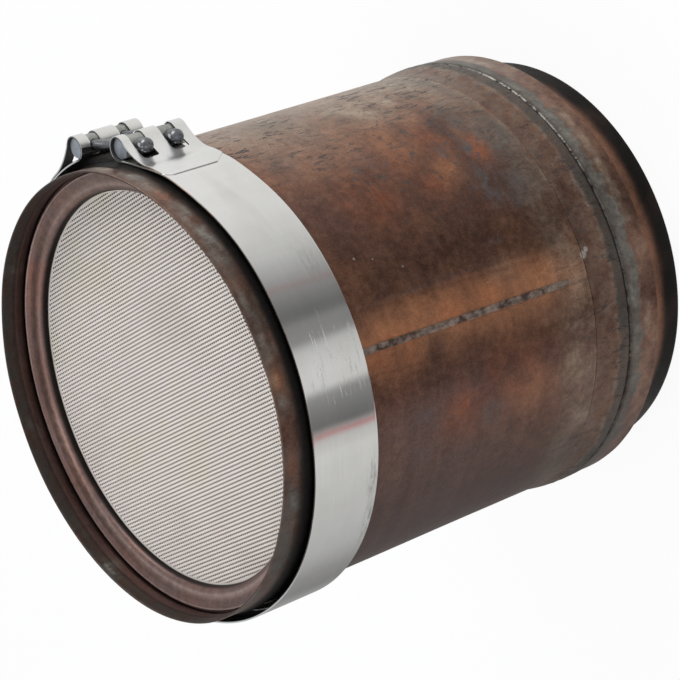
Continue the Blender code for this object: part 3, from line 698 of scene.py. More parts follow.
def ring_wear(angle, z, radius):
    """A retaining ring: plum brown, with a painted highlight along its broad crest and on its pale outer
    corner, and painted shade in its bore. The highlight is bright over the low side and dull over the left
    one, where painted shade darkens the ring."""
    fields = can_wear(angle, z, radius)
    uneven = 1 + 0.06 * ripple(angle, radius, 71, 26, 12)
    crest = np.exp(-(((radius - 140.6) / 2.3) ** 2))
    line = np.exp(-(((radius - 139.8) / 0.7) ** 2))
    corner = np.exp(-(((radius - 149.1) / 0.60) ** 2))
    bore = 1 - step_up(radius, 134.9, 137.0)
    rubbed = round_profile(angle, RING_LIT_ROUND)
    top = np.exp(-((turn_between(angle, 42) / 30) ** 2))
    without(fields, "slate", "weld", "oxide", "grime", "freckled", "chalk")
    fields["plum"] = 0.95 - 0.35 * crest
    fields["warm"] = 0.20 + 0.30 * crest
    # Painted shade in the bore, on the ring's dull side and in the gap outside its corner.
    shaded = np.maximum(0.34 * (1 - rubbed), 0.88 * bore)
    fields["soot"] = np.maximum(shaded, 0.35 * (radius > 147.6) * (1 - corner))
    glow = np.exp(-((turn_between(angle, 158) / 13) ** 2))
    # Painted highlight on the crest, a thin line on it and the outer corner, strongest on the lit side.
    worn_sheen = (0.10 + 0.62 * rubbed) * crest + 0.35 * line * rubbed + 0.22 * rubbed + 0.75 * corner
    fields["rubbed"] = np.clip(worn_sheen * uneven, 0, 1) * (1 - bore) * (1 - 0.45 * glow)
    # A painted sheen on the ring's top side, where the key light falls.
    fields["ash"] = 0.25 * top * (1 - bore)
    fields["rust"] = 0.16 * step_up(ripple(angle, radius, 72, 12, 30), 0.2, 1.4)
    fields["gold"] = 0.08 * top + 0.75 * crest * glow
    fields["pitted"] = 0.05 + 0 * z
    return fields


def make_retaining_ring(name, node, face, outward, step=0.9):
    """The pressed ring over the brick's edge: its bore lip, a broad roll, the dish and the corner at
    the skirt."""
    heights = [
        (RING_BORE, 0.7),
        (RING_BORE, 1.7),
        (RING_BORE + 0.12, 2.8),
        (RING_BORE + 0.75, 4.3),
        (RING_BORE + 1.95, 5.6),
        (RING_CREST, 6.45),
        (140.4, 6.98),
        (142.6, 7.35),
        (145.4, 8.1),
        (147.9, 9.2),
        (149.2, 9.85),
        (149.9, 9.5),
        (RING_SKIRT_RADIUS, 8.4),
        (RING_SKIRT_RADIUS, 0.0),
        (RING_SKIRT_RADIUS, RING_HEIGHT - RING_SKIRT + 0.4),
    ]
    line = [(r, face + outward * h) for r, h in heights]
    section = sheet_section(line if outward > 0 else line[::-1], SHEET, 0.8, 3)
    piece = carried_round(name, section, angles_round(step), None, ring_wear)
    belongs(piece, "heat_tinted_steel", node)
    return piece


def make_inner_can():
    """The can round the brick's mat, whose top edge shows behind the retaining ring."""
    outer = CAN_INNER + SHEET
    top = BRICK_TOP + RING_HEIGHT - SHEET - 0.4
    line = [(outer, z) for z in np.linspace(top, PILOT_TOP + GAP + 0.4, 6)]
    section = sheet_section(line, SHEET, 12.0, 1)
    piece = carried_round("inner_can_sheet", section, angles_round(1.5), None, ring_wear)
    belongs(piece, "heat_tinted_steel", "inner_can")
    return piece


# The honeycomb


def cell_centres(plugged):
    """Centres of the open or the plugged channels under the ring's bore: a square lattice of both
    kinds, turned by the cells' angle, of which every other one is open."""
    reach = int(RING_BORE / CELL_PITCH) + 3
    column, row = np.meshgrid(np.arange(-reach, reach + 1), np.arange(-reach, reach + 1), indexing="ij")
    pick = (column + row) % 2 == plugged
    flat = np.stack([column[pick], row[pick]], 1) * CELL_PITCH
    turn = math.radians(CELL_TURN)
    spun = flat @ np.array([[math.cos(turn), math.sin(turn)], [-math.sin(turn), math.cos(turn)]])
    return spun[np.hypot(*spun.T) < RING_BORE + 1.2]


def make_cell_face(name, height, outward, plugged):
    """One end of the honeycomb: round each open channel a diamond of wall and plug, and the square channel.

    A diamond's corners lie one cell pitch from its centre along the cells' axes, so that the diamonds meet.
    The channel's mouth is smaller than its cell, and its walls go down by the depth that can be seen.
    """
    centres = cell_centres(plugged)
    turn = math.radians(CELL_TURN)
    half = OPEN_CELL / 2
    star = np.array([(1, 0), (0, 1), (-1, 0), (0, -1)], float) * CELL_PITCH
    square = np.array([(1, 1), (-1, 1), (-1, -1), (1, -1)], float) * half
    spin = np.array([[math.cos(turn), math.sin(turn)], [-math.sin(turn), math.cos(turn)]])
    levels = [(star, 0.0), (square, 0.0), (square, -WELL_DEPTH)]
    unit = np.vstack([np.hstack([p @ spin, np.full((4, 1), depth)]) for p, depth in levels])
    random = np.random.default_rng(81)
    points = np.repeat(unit[None], len(centres), 0)
    points[:, :, :2] += centres[:, None, :]
    points[:, 4:, :2] += random.normal(0, 0.035, (len(centres), 1, 2))
    points[:, :, 2] = height + outward * points[:, :, 2]
    faces = []
    for k in range(4):
        nxt = (k + 1) % 4
        faces += [(k, 4 + k, 4 + (k - 1) % 4), (k, nxt, 4 + k)]
        faces += [(4 + k, 4 + nxt, 8 + nxt), (4 + k, 8 + nxt, 8 + k)]
    faces += [(8, 9, 10), (8, 10, 11)]
    faces = np.array(faces)
    if outward < 0:
        faces = faces[:, ::-1]
    faces = (faces[None] + 12 * np.arange(len(centres))[:, None, None]).reshape(-1, 3)
    depth = np.tile(np.repeat([0.0, 0.0, 1.0], 4), len(centres))
    tone = np.repeat(random.uniform(0, 1, len(centres)), 12)
    piece = new_piece(name, points, faces.tolist(), {"depth": depth, "tone": tone}, sharp=25.0)
    belongs(piece, "ceramic", "filter_brick")
    return piece


def brick_side_wear(angle, z, radius):
    """The brick's wall has no channels: it lies at depth 0 and is of middling tone."""
    return {"depth": 0 * z, "tone": 0.5 + 0 * z}


def make_brick_side():
    """The brick's outer wall: a tube from end to end with a flat edge under each ring."""
    inner = RING_BORE - 1.0
    low, high = BRICK_BOTTOM + 0.04, BRICK_TOP - 0.04
    section = [(BRICK_RADIUS, low), (BRICK_RADIUS, high), (inner, high), (inner, low)]
    piece = carried_round("honeycomb_side", section, angles_round(1.5), None, brick_side_wear)
    belongs(piece, "ceramic", "filter_brick")
    return piece


# The strap clamp


def polar(radius, angle):
    turn = np.radians(angle)
    return np.stack([radius * np.cos(turn), radius * np.sin(turn)], -1)


TIGHT_ANGLE = LATCH_ANGLE - BAR_SPREAD / 2
FREE_ANGLE = LATCH_ANGLE + BAR_SPREAD / 2
LOOP_BOTTOM = BAND_THICKNESS / 2 + BAR_RADIUS + LOOP_CLEARANCE
TIGHT_BAR = polar(TIGHT_RADIUS + LOOP_BOTTOM, TIGHT_ANGLE)
FREE_BAR = polar(FREE_RADIUS + LOOP_BOTTOM, FREE_ANGLE)


def strap_radius(past_bar, end_radius):
    """Radius of the strap's centre line: end_radius at a bar, eased to the band's from 6 to 22 degrees
    past it."""
    ease = step_up(past_bar, 6.0, 22.0)
    return end_radius + (BAND_INNER + BAND_THICKNESS / 2 - end_radius) * ease


def end_path(bar, bar_angle, end_radius, side):
    """Centre line of one strap end: round the bar from below it, down to the band by a parabola, and along
    the band as a lap. side is -1 where the lap runs to smaller angles, and +1 where it runs to larger ones.
    The lap is pressed flat towards its end, so that only a thin edge of it stands proud."""

    def on_lap(past_bar):
        pressed = 0.95 * step_up(past_bar, 12.2, 17.5)
        radius = strap_radius(past_bar, end_radius) + BAND_THICKNESS + GAP - pressed
        return polar(radius, bar_angle + side * past_bar)

    landing = on_lap(np.array(11.6))
    run = landing - on_lap(np.array(11.1))
    knee = landing - run / np.hypot(*run) * 14.0
    loop_radius = BAR_RADIUS + LOOP_CLEARANCE + BAND_THICKNESS / 2
    to_knee = knee - bar
    leave = math.atan2(to_knee[1], to_knee[0]) - side * math.acos(loop_radius / np.hypot(*to_knee))
    bottom = math.radians(bar_angle) + math.pi
    sweep = (leave - bottom) * side % math.tau
    turn = bottom + side * sweep * np.linspace(0, 1, 120)
    loop = bar + loop_radius * np.stack([np.cos(turn), np.sin(turn)], 1)
    t = np.linspace(0, 1, 60)[1:, None]
    descent = (1 - t) ** 2 * loop[-1] + 2 * t * (1 - t) * knee + t * t * landing
    lap = on_lap(np.linspace(11.6, 19.7, 80)[1:])
    return np.vstack([loop, descent, lap]), len(loop)


def strap_path():
    """The strap's whole centre line as fine points, the distance along it, and where each slot starts
    and ends.

    A slot opens the loop from SLOT_FLOOR below the bar's middle, over the bar, to SLOT_REACH beyond it.
    """
    tight, loop_count = end_path(TIGHT_BAR, TIGHT_ANGLE, TIGHT_RADIUS, -1)
    free, _ = end_path(FREE_BAR, FREE_ANGLE, FREE_RADIUS, 1)
    turn = 360 - BAR_SPREAD
    past = np.linspace(0, turn, 1400)[1:-1]
    from_free = strap_radius(past, FREE_RADIUS)
    from_tight = strap_radius(turn - past, TIGHT_RADIUS)
    radius = np.where(past < turn / 2, from_free, from_tight)
    points = np.vstack([free[::-1], polar(radius, FREE_ANGLE + past), tight])
    along = np.concatenate([[0], np.cumsum(np.hypot(*np.diff(points, axis=0).T))])

    def slot_reach(end, bar, bar_angle, side):
        away = polar(1.0, bar_angle + side * 90)
        x = (end - bar) @ away
        y = (end - bar) @ polar(1.0, bar_angle)
        start = np.argmax(y > -SLOT_FLOOR)
        stop = loop_count + np.argmax(x[loop_count:] > SLOT_REACH)
        return start, stop

    tight_start, tight_stop = slot_reach(tight, TIGHT_BAR, TIGHT_ANGLE, -1)
    free_start, free_stop = slot_reach(free, FREE_BAR, FREE_ANGLE, 1)
    first = len(points) - len(tight)
    slots = {
        "nut": (along[first + tight_start], along[first + tight_stop], NUT_SLOT_WIDTH),
        "bolt": (along[len(free) - 1 - free_stop], along[len(free) - 1 - free_start], BOLT_SLOT_WIDTH),
    }
    return points, along, slots


def slot_distance(s, z, middle_s, middle_z, half_s, half_z, corner):
    """Signed distance to a rectangle with round corners, below zero inside it."""
    dx = np.abs(s - middle_s) - (half_s - corner)
    dz = np.abs(z - middle_z) - (half_z - corner)
    return np.hypot(np.maximum(dx, 0), np.maximum(dz, 0)) + np.minimum(np.maximum(dx, dz), 0) - corner


def cut_slots(s, z, faces, slots):
    """Leaves out the grid's faces inside each slot, and moves the corners round it onto its outline,
    against the slope of the distance to it. Gives the new s and z, and which faces are kept."""
    keep = np.ones(len(faces), bool)
    tiny = 1e-3
    for start, stop, width in slots.values():
        for middle_z in BOLT_HEIGHTS.values():
            shape = ((start + stop) / 2, middle_z, (stop - start) / 2, width / 2, 2.6)
            distance = slot_distance(s, z, *shape)
            out = distance.ravel()[faces].mean(1) < 0
            keep &= ~out
            edge = np.zeros(distance.size, bool)
            edge[np.intersect1d(faces[out].ravel(), faces[~out].ravel())] = True
            edge = edge.reshape(distance.shape)
            slope_s = (slot_distance(s + tiny, z, *shape) - distance) / tiny
            slope_z = (slot_distance(s, z + tiny, *shape) - distance) / tiny
            s = np.where(edge, s - distance * slope_s, s)
            z = np.where(edge, z - distance * slope_z, z)
    return s, z, keep


def strap_wear(angle, z, from_end):
    """Where the strap is scratched, stained and smudged, and how near it is to its folded ends."""
    scuffed = patch(angle, z, -40.5, 312, 7.5, 19) * (1 + 0.3 * ripple(angle, z, 92, 60, 20))
    stained = patches(angle, z, [(4.5, 317, 6, 5, 0.8), (-2, 313, 5, 4, 0.35), (-9, 318, 3, 3, 0.25)])
    smudged = patches(angle, z, [(-72, 292, 5, 3.5, 1.0), (-84, 291, 6, 3.5, 1.0), (-104, 300, 5, 10, 0.3)])
    smudged = np.maximum(smudged, patch(angle, z, -18, 300, 5, 8) * 0.3)
    fold = np.exp(-((from_end / 60.0) ** 2))[:, None] + 0 * z
    return {"scuffed": scuffed, "stained": stained, "smudged": smudged, "fold": fold}


def strap_edges(s, total):
    """Lower and upper edge of the strap along its path: the rear corners of its ends are clipped
    straight and the front ones are rounded."""
    from_end = np.minimum(s, total - s)
    low = BAND_BOTTOM + 10.7 * np.clip(1 - from_end / 9.5, 0, 1)
    high = BAND_TOP - 6.0 * np.clip(1 - from_end / 5.5, 0, 1) ** 2
    return low, high


def make_strap():
    """The steel strap: a grid of distance along its path and height, with the slots' cells left out.
    Beside the lap it is pushed up a little. Its middle field is the radius of the strap's centre, from
    150 to 190."""
    path, along, slots = strap_path()
    total = along[-1]
    ends = 82.0
    first = np.linspace(0, ends, 112)[:-1]
    s = np.concatenate([first, np.linspace(ends, total - ends, 300), total - first[::-1]])
    rows = 56
    share = np.linspace(0, 1, rows)
    from_end = np.minimum(s, total - s)
    low, high = strap_edges(s, total)
    grid_s = np.repeat(s[:, None], rows, 1)
    grid_z = low[:, None] + (high - low)[:, None] * share[None]
    faces = quads(len(s), rows, False, False)
    grid_s, grid_z, keep = cut_slots(grid_s, grid_z, faces, slots)
    side = side_of(path)
    x, y, side_x, side_y = (np.interp(grid_s, along, line) for line in (*path.T, *side.T))
    dimple = np.zeros(grid_s.shape)
    for height in (333.0, 325.0, 317.0, 309.0, 302.0):
        apart = np.hypot(grid_s - (total - 6.0), grid_z - height)
        dimple += 0.12 * np.exp(-((apart / 1.2) ** 2))
    wave = 0.05 * ripple(grid_s * 0.36, grid_z, 91, 14, 60) * (from_end > 90)[:, None]
    move = dimple + wave
    angle = np.degrees(np.arctan2(y, x))
    pushed = 2.8 * np.exp(-((turn_between(angle, 13) / 15) ** 2))
    points = np.stack([x + side_x * move, y + side_y * move, grid_z + pushed], -1)
    fields = strap_wear(angle, grid_z, from_end)
    fields["middle"] = (np.hypot(x + side_x * wave, y + side_y * wave) - 150) / 40
    piece = new_piece("clamp_strap", points, faces[keep].tolist(), fields)
    work = bmesh.new()
    work.from_mesh(piece.data)
    loose = [v for v in work.verts if not v.link_faces]
    bmesh.ops.delete(work, geom=loose, context="VERTS")
    work.to_mesh(piece.data)
    work.free()
    thicken_strap(piece)
    belongs(piece, "strap_steel", "clamp_band")
    return piece


def thicken_strap(piece):
    """Gives the strap its thickness and soft edges."""
    sheet = piece.modifiers.new("Sheet", "SOLIDIFY")
    sheet.thickness = BAND_THICKNESS * MM
    sheet.offset = 0.0
    sheet.use_even_offset = True
    soften_edges(piece, 0.22, 60)


def hidden_strap_wear(angle, z, radius):
    """The channels inside the strap are evenly stained and not scratched."""
    none = 0 * z
    return {"scuffed": none, "stained": 0.2 + none, "smudged": 0.3 + none, "fold": none, "middle": none}


def make_channels():
    """The three pressed V channels inside the strap."""
    middle = BAND_MIDDLE - 6
    flat = BAND_INNER - GAP
    line = [(flat - 3, middle + 15), (flat, middle + 9.5), (flat, middle - 9.5), (flat - 3, middle - 15)]
    line = [line[0], (flat - 0.1, middle + 9.7), line[1], line[2], (flat - 0.1, middle - 9.7), line[3]]
    section = sheet_section(line, BAND_THICKNESS, 1.5, 1)
    pieces = []
    for index in range(3):
        centre = LATCH_ANGLE + 180 + (index - 1) * 105
        angles = np.linspace(centre - 46, centre + 46, 93)
        name = f"strap_channel_{index + 1}"
        piece = carried_round(name, section, angles, None, hidden_strap_wear, arc=True)
        belongs(piece, "strap_steel", f"v_retainer_{index + 1}")
        pieces.append(piece)
    return pieces


def drilled(piece, centre, direction):
    """Cuts both bolts' cross bores through a bar."""
    for height in BOLT_HEIGHTS.values():
        bore = BOLT_RADIUS + GAP
        start = np.array([*centre, height]) - 22 * direction
        drill = lathed("drill", [(0, 0), (bore, 0), (bore, 44), (0, 44)], 48, start, direction)
        cut = piece.modifiers.new("Bore", "BOOLEAN")
        cut.operation = "DIFFERENCE"
        cut.solver = "EXACT"
        cut.object = drill
        bake_modifiers(piece)
        bpy.data.objects.remove(drill)
    soften_edges(piece, 0.20, 50)
    piece.data.set_sharp_from_angle(angle=math.radians(40))


def nut_profile(seat, tip):
    """A domed nut as (radius, height) points: the dome with a small flat, the side, the foot, the blind
    bore."""
    r = NUT_RADIUS
    turn = np.linspace(math.acos(0.26), 0, 14)
    dome = [(0, tip - 0.03 * r)]
    dome += [(r * math.cos(t), tip - 0.90 * r + 0.90 * r * math.sin(t)) for t in turn]
    foot = [(r, seat + 0.6), (r - 0.25, seat + 0.15), (r - 0.8, seat), (BOLT_RADIUS + GAP, seat)]
    floor = seat + 0.6 * NUT_LENGTH
    return dome + foot + [(BOLT_RADIUS + GAP, floor), (0, floor)]


def make_latch():
    """Two cross bars, two bolts through them and a domed nut on each."""
    flat = TIGHT_BAR - FREE_BAR
    apart = float(np.hypot(*flat))
    direction = np.array([*(flat / apart), 0.0])
    half = BAR_HEIGHT / 2
    r = BAR_RADIUS
    bar_line = [(0, -half), (r - 0.9, -half), (r - 0.35, -half + 0.12), (r, -half + 0.6)]
    bar_line += [(across, -z) for across, z in bar_line[::-1]]
    bars = []
    for name, bar, node in (("nut_bar", TIGHT_BAR, "nut_end_bar"), ("bolt_bar", FREE_BAR, "bolt_end_bar")):
        piece = lathed(name, bar_line, 96, (*bar, BAND_MIDDLE))
        drilled(piece, bar, direction)
        belongs(piece, "bar_steel", node)
        bars.append(piece)
    seat = apart + BAR_RADIUS + LOOP_CLEARANCE
    end = seat + 0.6 * NUT_LENGTH - GAP
    r = BOLT_RADIUS
    shank = [(0, -BAR_RADIUS), (r - 0.5, -BAR_RADIUS), (r, -BAR_RADIUS + 0.5)]
    shank += [(r, end - 0.5), (r - 0.5, end), (0, end)]
    fasteners = []
    for place, height in BOLT_HEIGHTS.items():
        origin = (*FREE_BAR, height)
        bolt = lathed(f"bolt_{place}", shank, 48, origin, direction)
        belongs(bolt, "bolt_steel", f"clamp_bolt_{place}")
        cap = lathed(f"nut_{place}", nut_profile(seat, seat + NUT_LENGTH), 72, origin, direction)
        belongs(cap, "bolt_steel", f"domed_nut_{place}")
        fasteners += [bolt, cap]
    return bars, fasteners


# Materials


class Finish:
    """One procedural material on a Principled shader, built node by node."""

    def __init__(self, name):
        self.material = bpy.data.materials.new(name)
        self.material.use_nodes = True
        self.tree = self.material.node_tree
        self.shader = self.tree.nodes["Principled BSDF"]
        self.place = self.tree.nodes.new("ShaderNodeTexCoord").outputs["Object"]

    def put(self, value, socket):
        if isinstance(value, bpy.types.NodeSocket):
            self.tree.links.new(value, socket)
        else:
            socket.default_value = value

    def node(self, kind, inputs, output, **settings):
        made = self.tree.nodes.new(kind)
        for key, value in settings.items():
            setattr(made, key, value)
        for key, value in inputs.items():
            self.put(value, made.inputs[key])
        return made.outputs[output]

    def stretched(self, scale):
        """Object coordinates scaled per axis, so that a pattern is longer where the scale is smaller."""
        return self.node("ShaderNodeMapping", {"Vector": self.place, "Scale": scale}, "Vector")

    def noise(self, scale, detail=4.0, rough=0.55, stretch=(1, 1, 1), twist=0.0):
        inputs = {"Vector": self.stretched(stretch), "Scale": scale, "Detail": detail, "Roughness": rough}
        return self.node("ShaderNodeTexNoise", {**inputs, "Distortion": twist}, "Fac")

    def cells(self, scale, output="Distance", stretch=(1, 1, 1)):
        inputs = {"Vector": self.stretched(stretch), "Scale": scale}
        return self.node("ShaderNodeTexVoronoi", inputs, output)

    def level(self, value, low, high, to_low=0.0, to_high=1.0):
        inputs = {"Value": value, "From Min": low, "From Max": high, "To Min": to_low, "To Max": to_high}
        return self.node("ShaderNodeMapRange", inputs, "Result", interpolation_type="SMOOTHSTEP")

    def sums(self, operation, first, second, clamp=False):
        made = self.tree.nodes.new("ShaderNodeMath")
        made.operation = operation
        made.use_clamp = clamp
        self.put(first, made.inputs[0])
        self.put(second, made.inputs[1])
        return made.outputs[0]

    def times(self, first, second):
        return self.sums("MULTIPLY", first, second)

    def plus(self, first, second, clamp=False):
        return self.sums("ADD", first, second, clamp)

    def sway(self, value, amount):
        """A pattern made to swing about zero by the amount."""
        return self.times(self.plus(value, -0.5), amount)

    def field(self, name):
        return self.node("ShaderNodeAttribute", {}, "Fac", attribute_name=name)

    def coat(self, name, breakup, strength, low=0.45):
        """How much of a coat lies here: its field, thinned to the low share where the pattern is weak."""
        most = self.times(self.field(name), strength)
        return self.times(most, self.level(breakup, 0.38, 0.62, low, 1.0))

    def ramp(self, value, stops):
        made = self.tree.nodes.new("ShaderNodeValToRGB")
        marks = made.color_ramp.elements
        while len(marks) < len(stops):
            marks.new(0.5)
        for mark, (position, colour) in zip(marks, stops):
            mark.position = position
            mark.color = (*colour, 1.0)
        self.put(value, made.inputs["Fac"])
        return made.outputs["Color"]

    def blend(self, factor, first, second, way="MIX"):
        made = self.tree.nodes.new("ShaderNodeMix")
        made.data_type = "RGBA"
        made.blend_type = way
        self.put(factor, made.inputs[0])
        for value, socket in ((first, made.inputs[6]), (second, made.inputs[7])):
            self.put((*value, 1.0) if isinstance(value, tuple) else value, socket)
        return made.outputs[2]

    def relief(self, height, distance, strength=1.0, below=None):
        inputs = {"Height": height, "Distance": distance, "Strength": strength}
        if below:
            inputs["Normal"] = below
        return self.node("ShaderNodeBump", inputs, "Normal")

    def done(self, colour, roughness, normal, metallic):
        self.put(colour, self.shader.inputs["Base Color"])
        self.put(roughness, self.shader.inputs["Roughness"])
        self.put(metallic, self.shader.inputs["Metallic"])
        self.put(normal, self.shader.inputs["Normal"])
        return self.material


UMBER = (0.124, 0.064, 0.047)
COPPER = (0.280, 0.135, 0.081)
PLUM = (0.150, 0.096, 0.090)
GOLD = (0.440, 0.196, 0.100)
RUST = (0.390, 0.115, 0.045)
ASH_AND_SHEEN = (0.390, 0.308, 0.232)
SLATE = (0.088, 0.082, 0.082)
GRIME = (0.064, 0.064, 0.057)
MID_SCALE = (0.150, 0.135, 0.118)
PALE_SCALE = (0.250, 0.232, 0.200)
SOOT_AND_SHADE = (0.014, 0.012, 0.011)
WELD = (0.270, 0.220, 0.185)
# The pale colour of the white dots and of the painted highlights.
CHALK_AND_HIGHLIGHT = (0.560, 0.530, 0.480)
# The colour of the painted highlight on the rings' crest and corner.
CREST_HIGHLIGHT = (0.425, 0.310, 0.275)


def steel_patterns(f):
    """The noise patterns of the tinted steel by name, from broad zones down to fine grain."""
    return {
        "zones": f.noise(9.0, 3.0, 0.5, (1, 1, 0.8), 0.4),
        "clouds": f.noise(36.0, 5.0, 0.62, (1, 1, 0.85), 0.3),
        "patchy": f.noise(88.0, 5.0, 0.62, (1, 1, 0.85), 0.3),
        "mottle": f.noise(200.0, 5.0, 0.66),
        "grain": f.noise(850.0, 3.0, 0.6),
        "bands": f.noise(120.0, 3.0, 0.6, (0.04, 0.04, 1)),
    }


def heat_tint(f, p):
    """The colour that heat gave the sheet: umber to copper, drifting with all patterns but the finest,
    then plum, gold, rust and small slate freckles where their fields lie."""
    drift = f.plus(f.sway(p["zones"], 0.7), f.sway(p["clouds"], 0.9))
    drift = f.plus(drift, f.plus(f.sway(p["patchy"], 0.8), f.sway(p["mottle"], 0.40)))
    drift = f.plus(drift, f.sway(p["bands"], 0.3))
    colour = f.blend(f.plus(f.field("warm"), drift, True), UMBER, COPPER)
    colour = f.blend(f.times(f.level(p["patchy"], 0.50, 0.64), 0.20), colour, PLUM)
    colour = f.blend(f.coat("plum", p["clouds"], 0.95, 0.55), colour, PLUM)
    colour = f.blend(f.coat("gold", p["patchy"], 0.95, 0.60), colour, GOLD)
    colour = f.blend(f.coat("rust", p["patchy"], 1.0, 0.40), colour, RUST)
    freckles = f.level(f.noise(190.0, 3.0, 0.5, (1, 1, 0.8)), 0.585, 0.640)
    return f.blend(f.times(f.times(f.field("freckled"), freckles), 0.60), colour, SLATE)


def deposits(f, p, colour):
    """Ash with a painted sheen, slate, grime and pale scale over the tint. Gives the colour and how much of
    a dull coat there is."""
    mixed = f.plus(f.times(p["patchy"], 0.55), f.times(p["mottle"], 0.45))
    # Pale coat: ash, and a painted sheen along the can's lit top and the rings' top side.
    ash = f.coat("ash", mixed, 1.0, 0.50)
    colour = f.blend(ash, colour, ASH_AND_SHEEN)
    slate = f.coat("slate", mixed, 1.0, 0.15)
    colour = f.blend(slate, colour, SLATE)
    grime = f.coat("grime", mixed, 1.0, 0.66)
    colour = f.blend(grime, colour, GRIME)
    oxide = f.coat("oxide", mixed, 1.0, 0.70)
    colour = f.blend(oxide, colour, f.ramp(mixed, [(0.38, MID_SCALE), (0.60, PALE_SCALE)]))
    dull = f.plus(f.times(ash, 0.4), f.plus(slate, f.plus(grime, oxide, True), True), True)
    return colour, dull


def weld_bead(f, colour):
    """The weld seam's grey-brown bead with dark blots. Gives the colour, where it lies and its lumps."""
    bead = f.level(f.field("weld"), 0.10, 0.85)
    blots = f.noise(270.0, 3.0, 0.55, (1, 1, 0.7))
    clumps = f.noise(55.0, 2.0, 0.5)
    lumps = f.plus(f.times(blots, 0.70), f.times(clumps, 0.30))
    tone = f.ramp(lumps, [(0.40, (0.034, 0.029, 0.027)), (0.49, (0.135, 0.106, 0.090)), (0.62, WELD)])
    return f.blend(f.times(bead, 0.88), colour, tone), bead, lumps


def dark_pits(f):
    """Dark flakes and small pits, longer along the can, in clusters where the pitted field is strong,
    and a few stray flakes anywhere."""
    flakes = f.level(f.noise(210.0, 5.0, 0.68, (1, 1, 0.34), 0.5), 0.560, 0.600)
    small = f.level(f.noise(480.0, 3.0, 0.6, (1, 1, 0.45)), 0.590, 0.640)
    clusters = f.level(f.noise(26.0, 2.0, 0.5), 0.40, 0.56, 0.30, 1.0)
    both = f.plus(f.times(flakes, 0.95), f.times(small, 0.55), True)
    pits = f.times(both, f.times(f.field("pitted"), clusters))
    stray = f.level(f.noise(240.0, 5.0, 0.7, (1, 1, 0.6)), 0.70, 0.76)
    return f.plus(pits, f.times(stray, 0.45), True)


def chalk_dots(f):
    """One inside a few small white dots on the can, placed by angle and height, and zero elsewhere."""
    total = 0.0
    for angle, height, size in CHALK_DOTS:
        x, y = polar(SHELL_OUTER * MM, angle)
        middle = (x, y, height * MM)
        apart = f.node("ShaderNodeVectorMath", {0: f.place, 1: middle}, "Value", operation="DISTANCE")
        total = f.plus(total, f.level(apart, size * MM, 0.5 * size * MM), True)
    return total


def crease_line(f):
    """One on the upper part of the can, and below it only in a thin line beside the weld's crease, where
    the painted highlight lies.
    """
    height = f.node("ShaderNodeSeparateXYZ", {"Vector": f.place}, "Z")
    away = f.sums("ABSOLUTE", f.plus(height, -(COLLAR_CREASE - 0.8) * MM), 0.0)
    return f.plus(f.level(away, 0.0008, 0.0003), f.level(height, 0.20, 0.21), True)


def tinted_steel():
    """Stainless sheet that heat has tinted, with rust, grey scale, pits and dust on it, sooty and ashen
    coats, painted shade in its recesses, and painted sheen and highlights where light falls.

    The fields say where each coat lies. Noise of several sizes makes each coat uneven inside its
    soft border, and the tint itself drifts between umber and copper with it. Pits are dark flakes along
    the can.
    """
    f = Finish("heat_tinted_steel")
    p = steel_patterns(f)
    colour, dull = deposits(f, p, heat_tint(f, p))
    colour, bead, lumps = weld_bead(f, colour)
    pits = dark_pits(f)
    colour = f.blend(f.times(pits, 0.85), colour, (0.036, 0.032, 0.032))
    # The dark coat is sooty dirt together with painted shade, which darkens creases, bores, the rim's
    # inside and the sheet under the strap and latch.
    soot = f.level(f.plus(f.field("soot"), f.sway(p["clouds"], 0.10)), 0.0, 1.0)
    colour = f.blend(soot, colour, SOOT_AND_SHADE)
    # Painted highlight on the retaining rings' crest and outer corner.
    colour = f.blend(f.field("rubbed"), colour, CREST_HIGHLIGHT)
    dust = f.times(f.level(f.cells(85.0), 0.034, 0.020), f.level(f.noise(30.0, 1.0), 0.60, 0.62))
    colour = f.blend(f.times(dust, 0.5), colour, (0.52, 0.47, 0.42))
    # Painted highlight along the collar's crease and inside the rim.
    chalk = f.times(f.times(f.field("chalk"), f.level(p["mottle"], 0.40, 0.56)), crease_line(f))
    colour = f.blend(f.plus(f.times(chalk, 0.7), f.times(chalk_dots(f), 0.6), True), colour, CHALK_AND_HIGHLIGHT)
    shade = f.level(p["grain"], 0.25, 0.75, 0.82, 1.14)
    shade = f.times(shade, f.level(p["bands"], 0.30, 0.70, 0.92, 1.06))
    shade = f.times(shade, f.level(p["mottle"], 0.32, 0.68, 0.88, 1.12))
    grey = f.node("ShaderNodeCombineColor", {"Red": shade, "Green": shade, "Blue": shade}, "Color")
    colour = f.blend(1.0, colour, grey, "MULTIPLY")
    dull = f.plus(dull, f.plus(pits, bead, True), True)
    dull = f.times(dull, f.plus(f.times(soot, -0.8), 1.0))
    metallic = f.level(dull, 0.0, 1.0, 0.92, 0.60)
    polish = f.plus(f.level(p["mottle"], 0.3, 0.7, 0.30, 0.40), f.times(p["bands"], 0.04))
    roughness = f.plus(polish, f.plus(f.times(dull, 0.14), f.times(soot, 0.16)), True)
    height = f.plus(f.times(pits, -1.0), f.plus(f.times(p["grain"], 0.30), f.times(p["mottle"], 0.40)))
    height = f.plus(height, f.times(bead, f.times(lumps, 1.8)))
    return f.done(colour, roughness, f.relief(height, 0.00020, 0.8), metallic)


def flat_distance(f, middle):
    """Distance in metres from the upright line through the point middle, given in millimetres."""
    x, y = np.asarray(middle) * MM
    flat = f.node("ShaderNodeVectorMath", {0: f.place, 1: (x, y, 0.0)}, "Vector", operation="SUBTRACT")
    flat = f.node("ShaderNodeVectorMath", {0: flat, 1: (1.0, 1.0, 0.0)}, "Vector", operation="MULTIPLY")
    return f.node("ShaderNodeVectorMath", {0: flat}, "Value", operation="LENGTH")


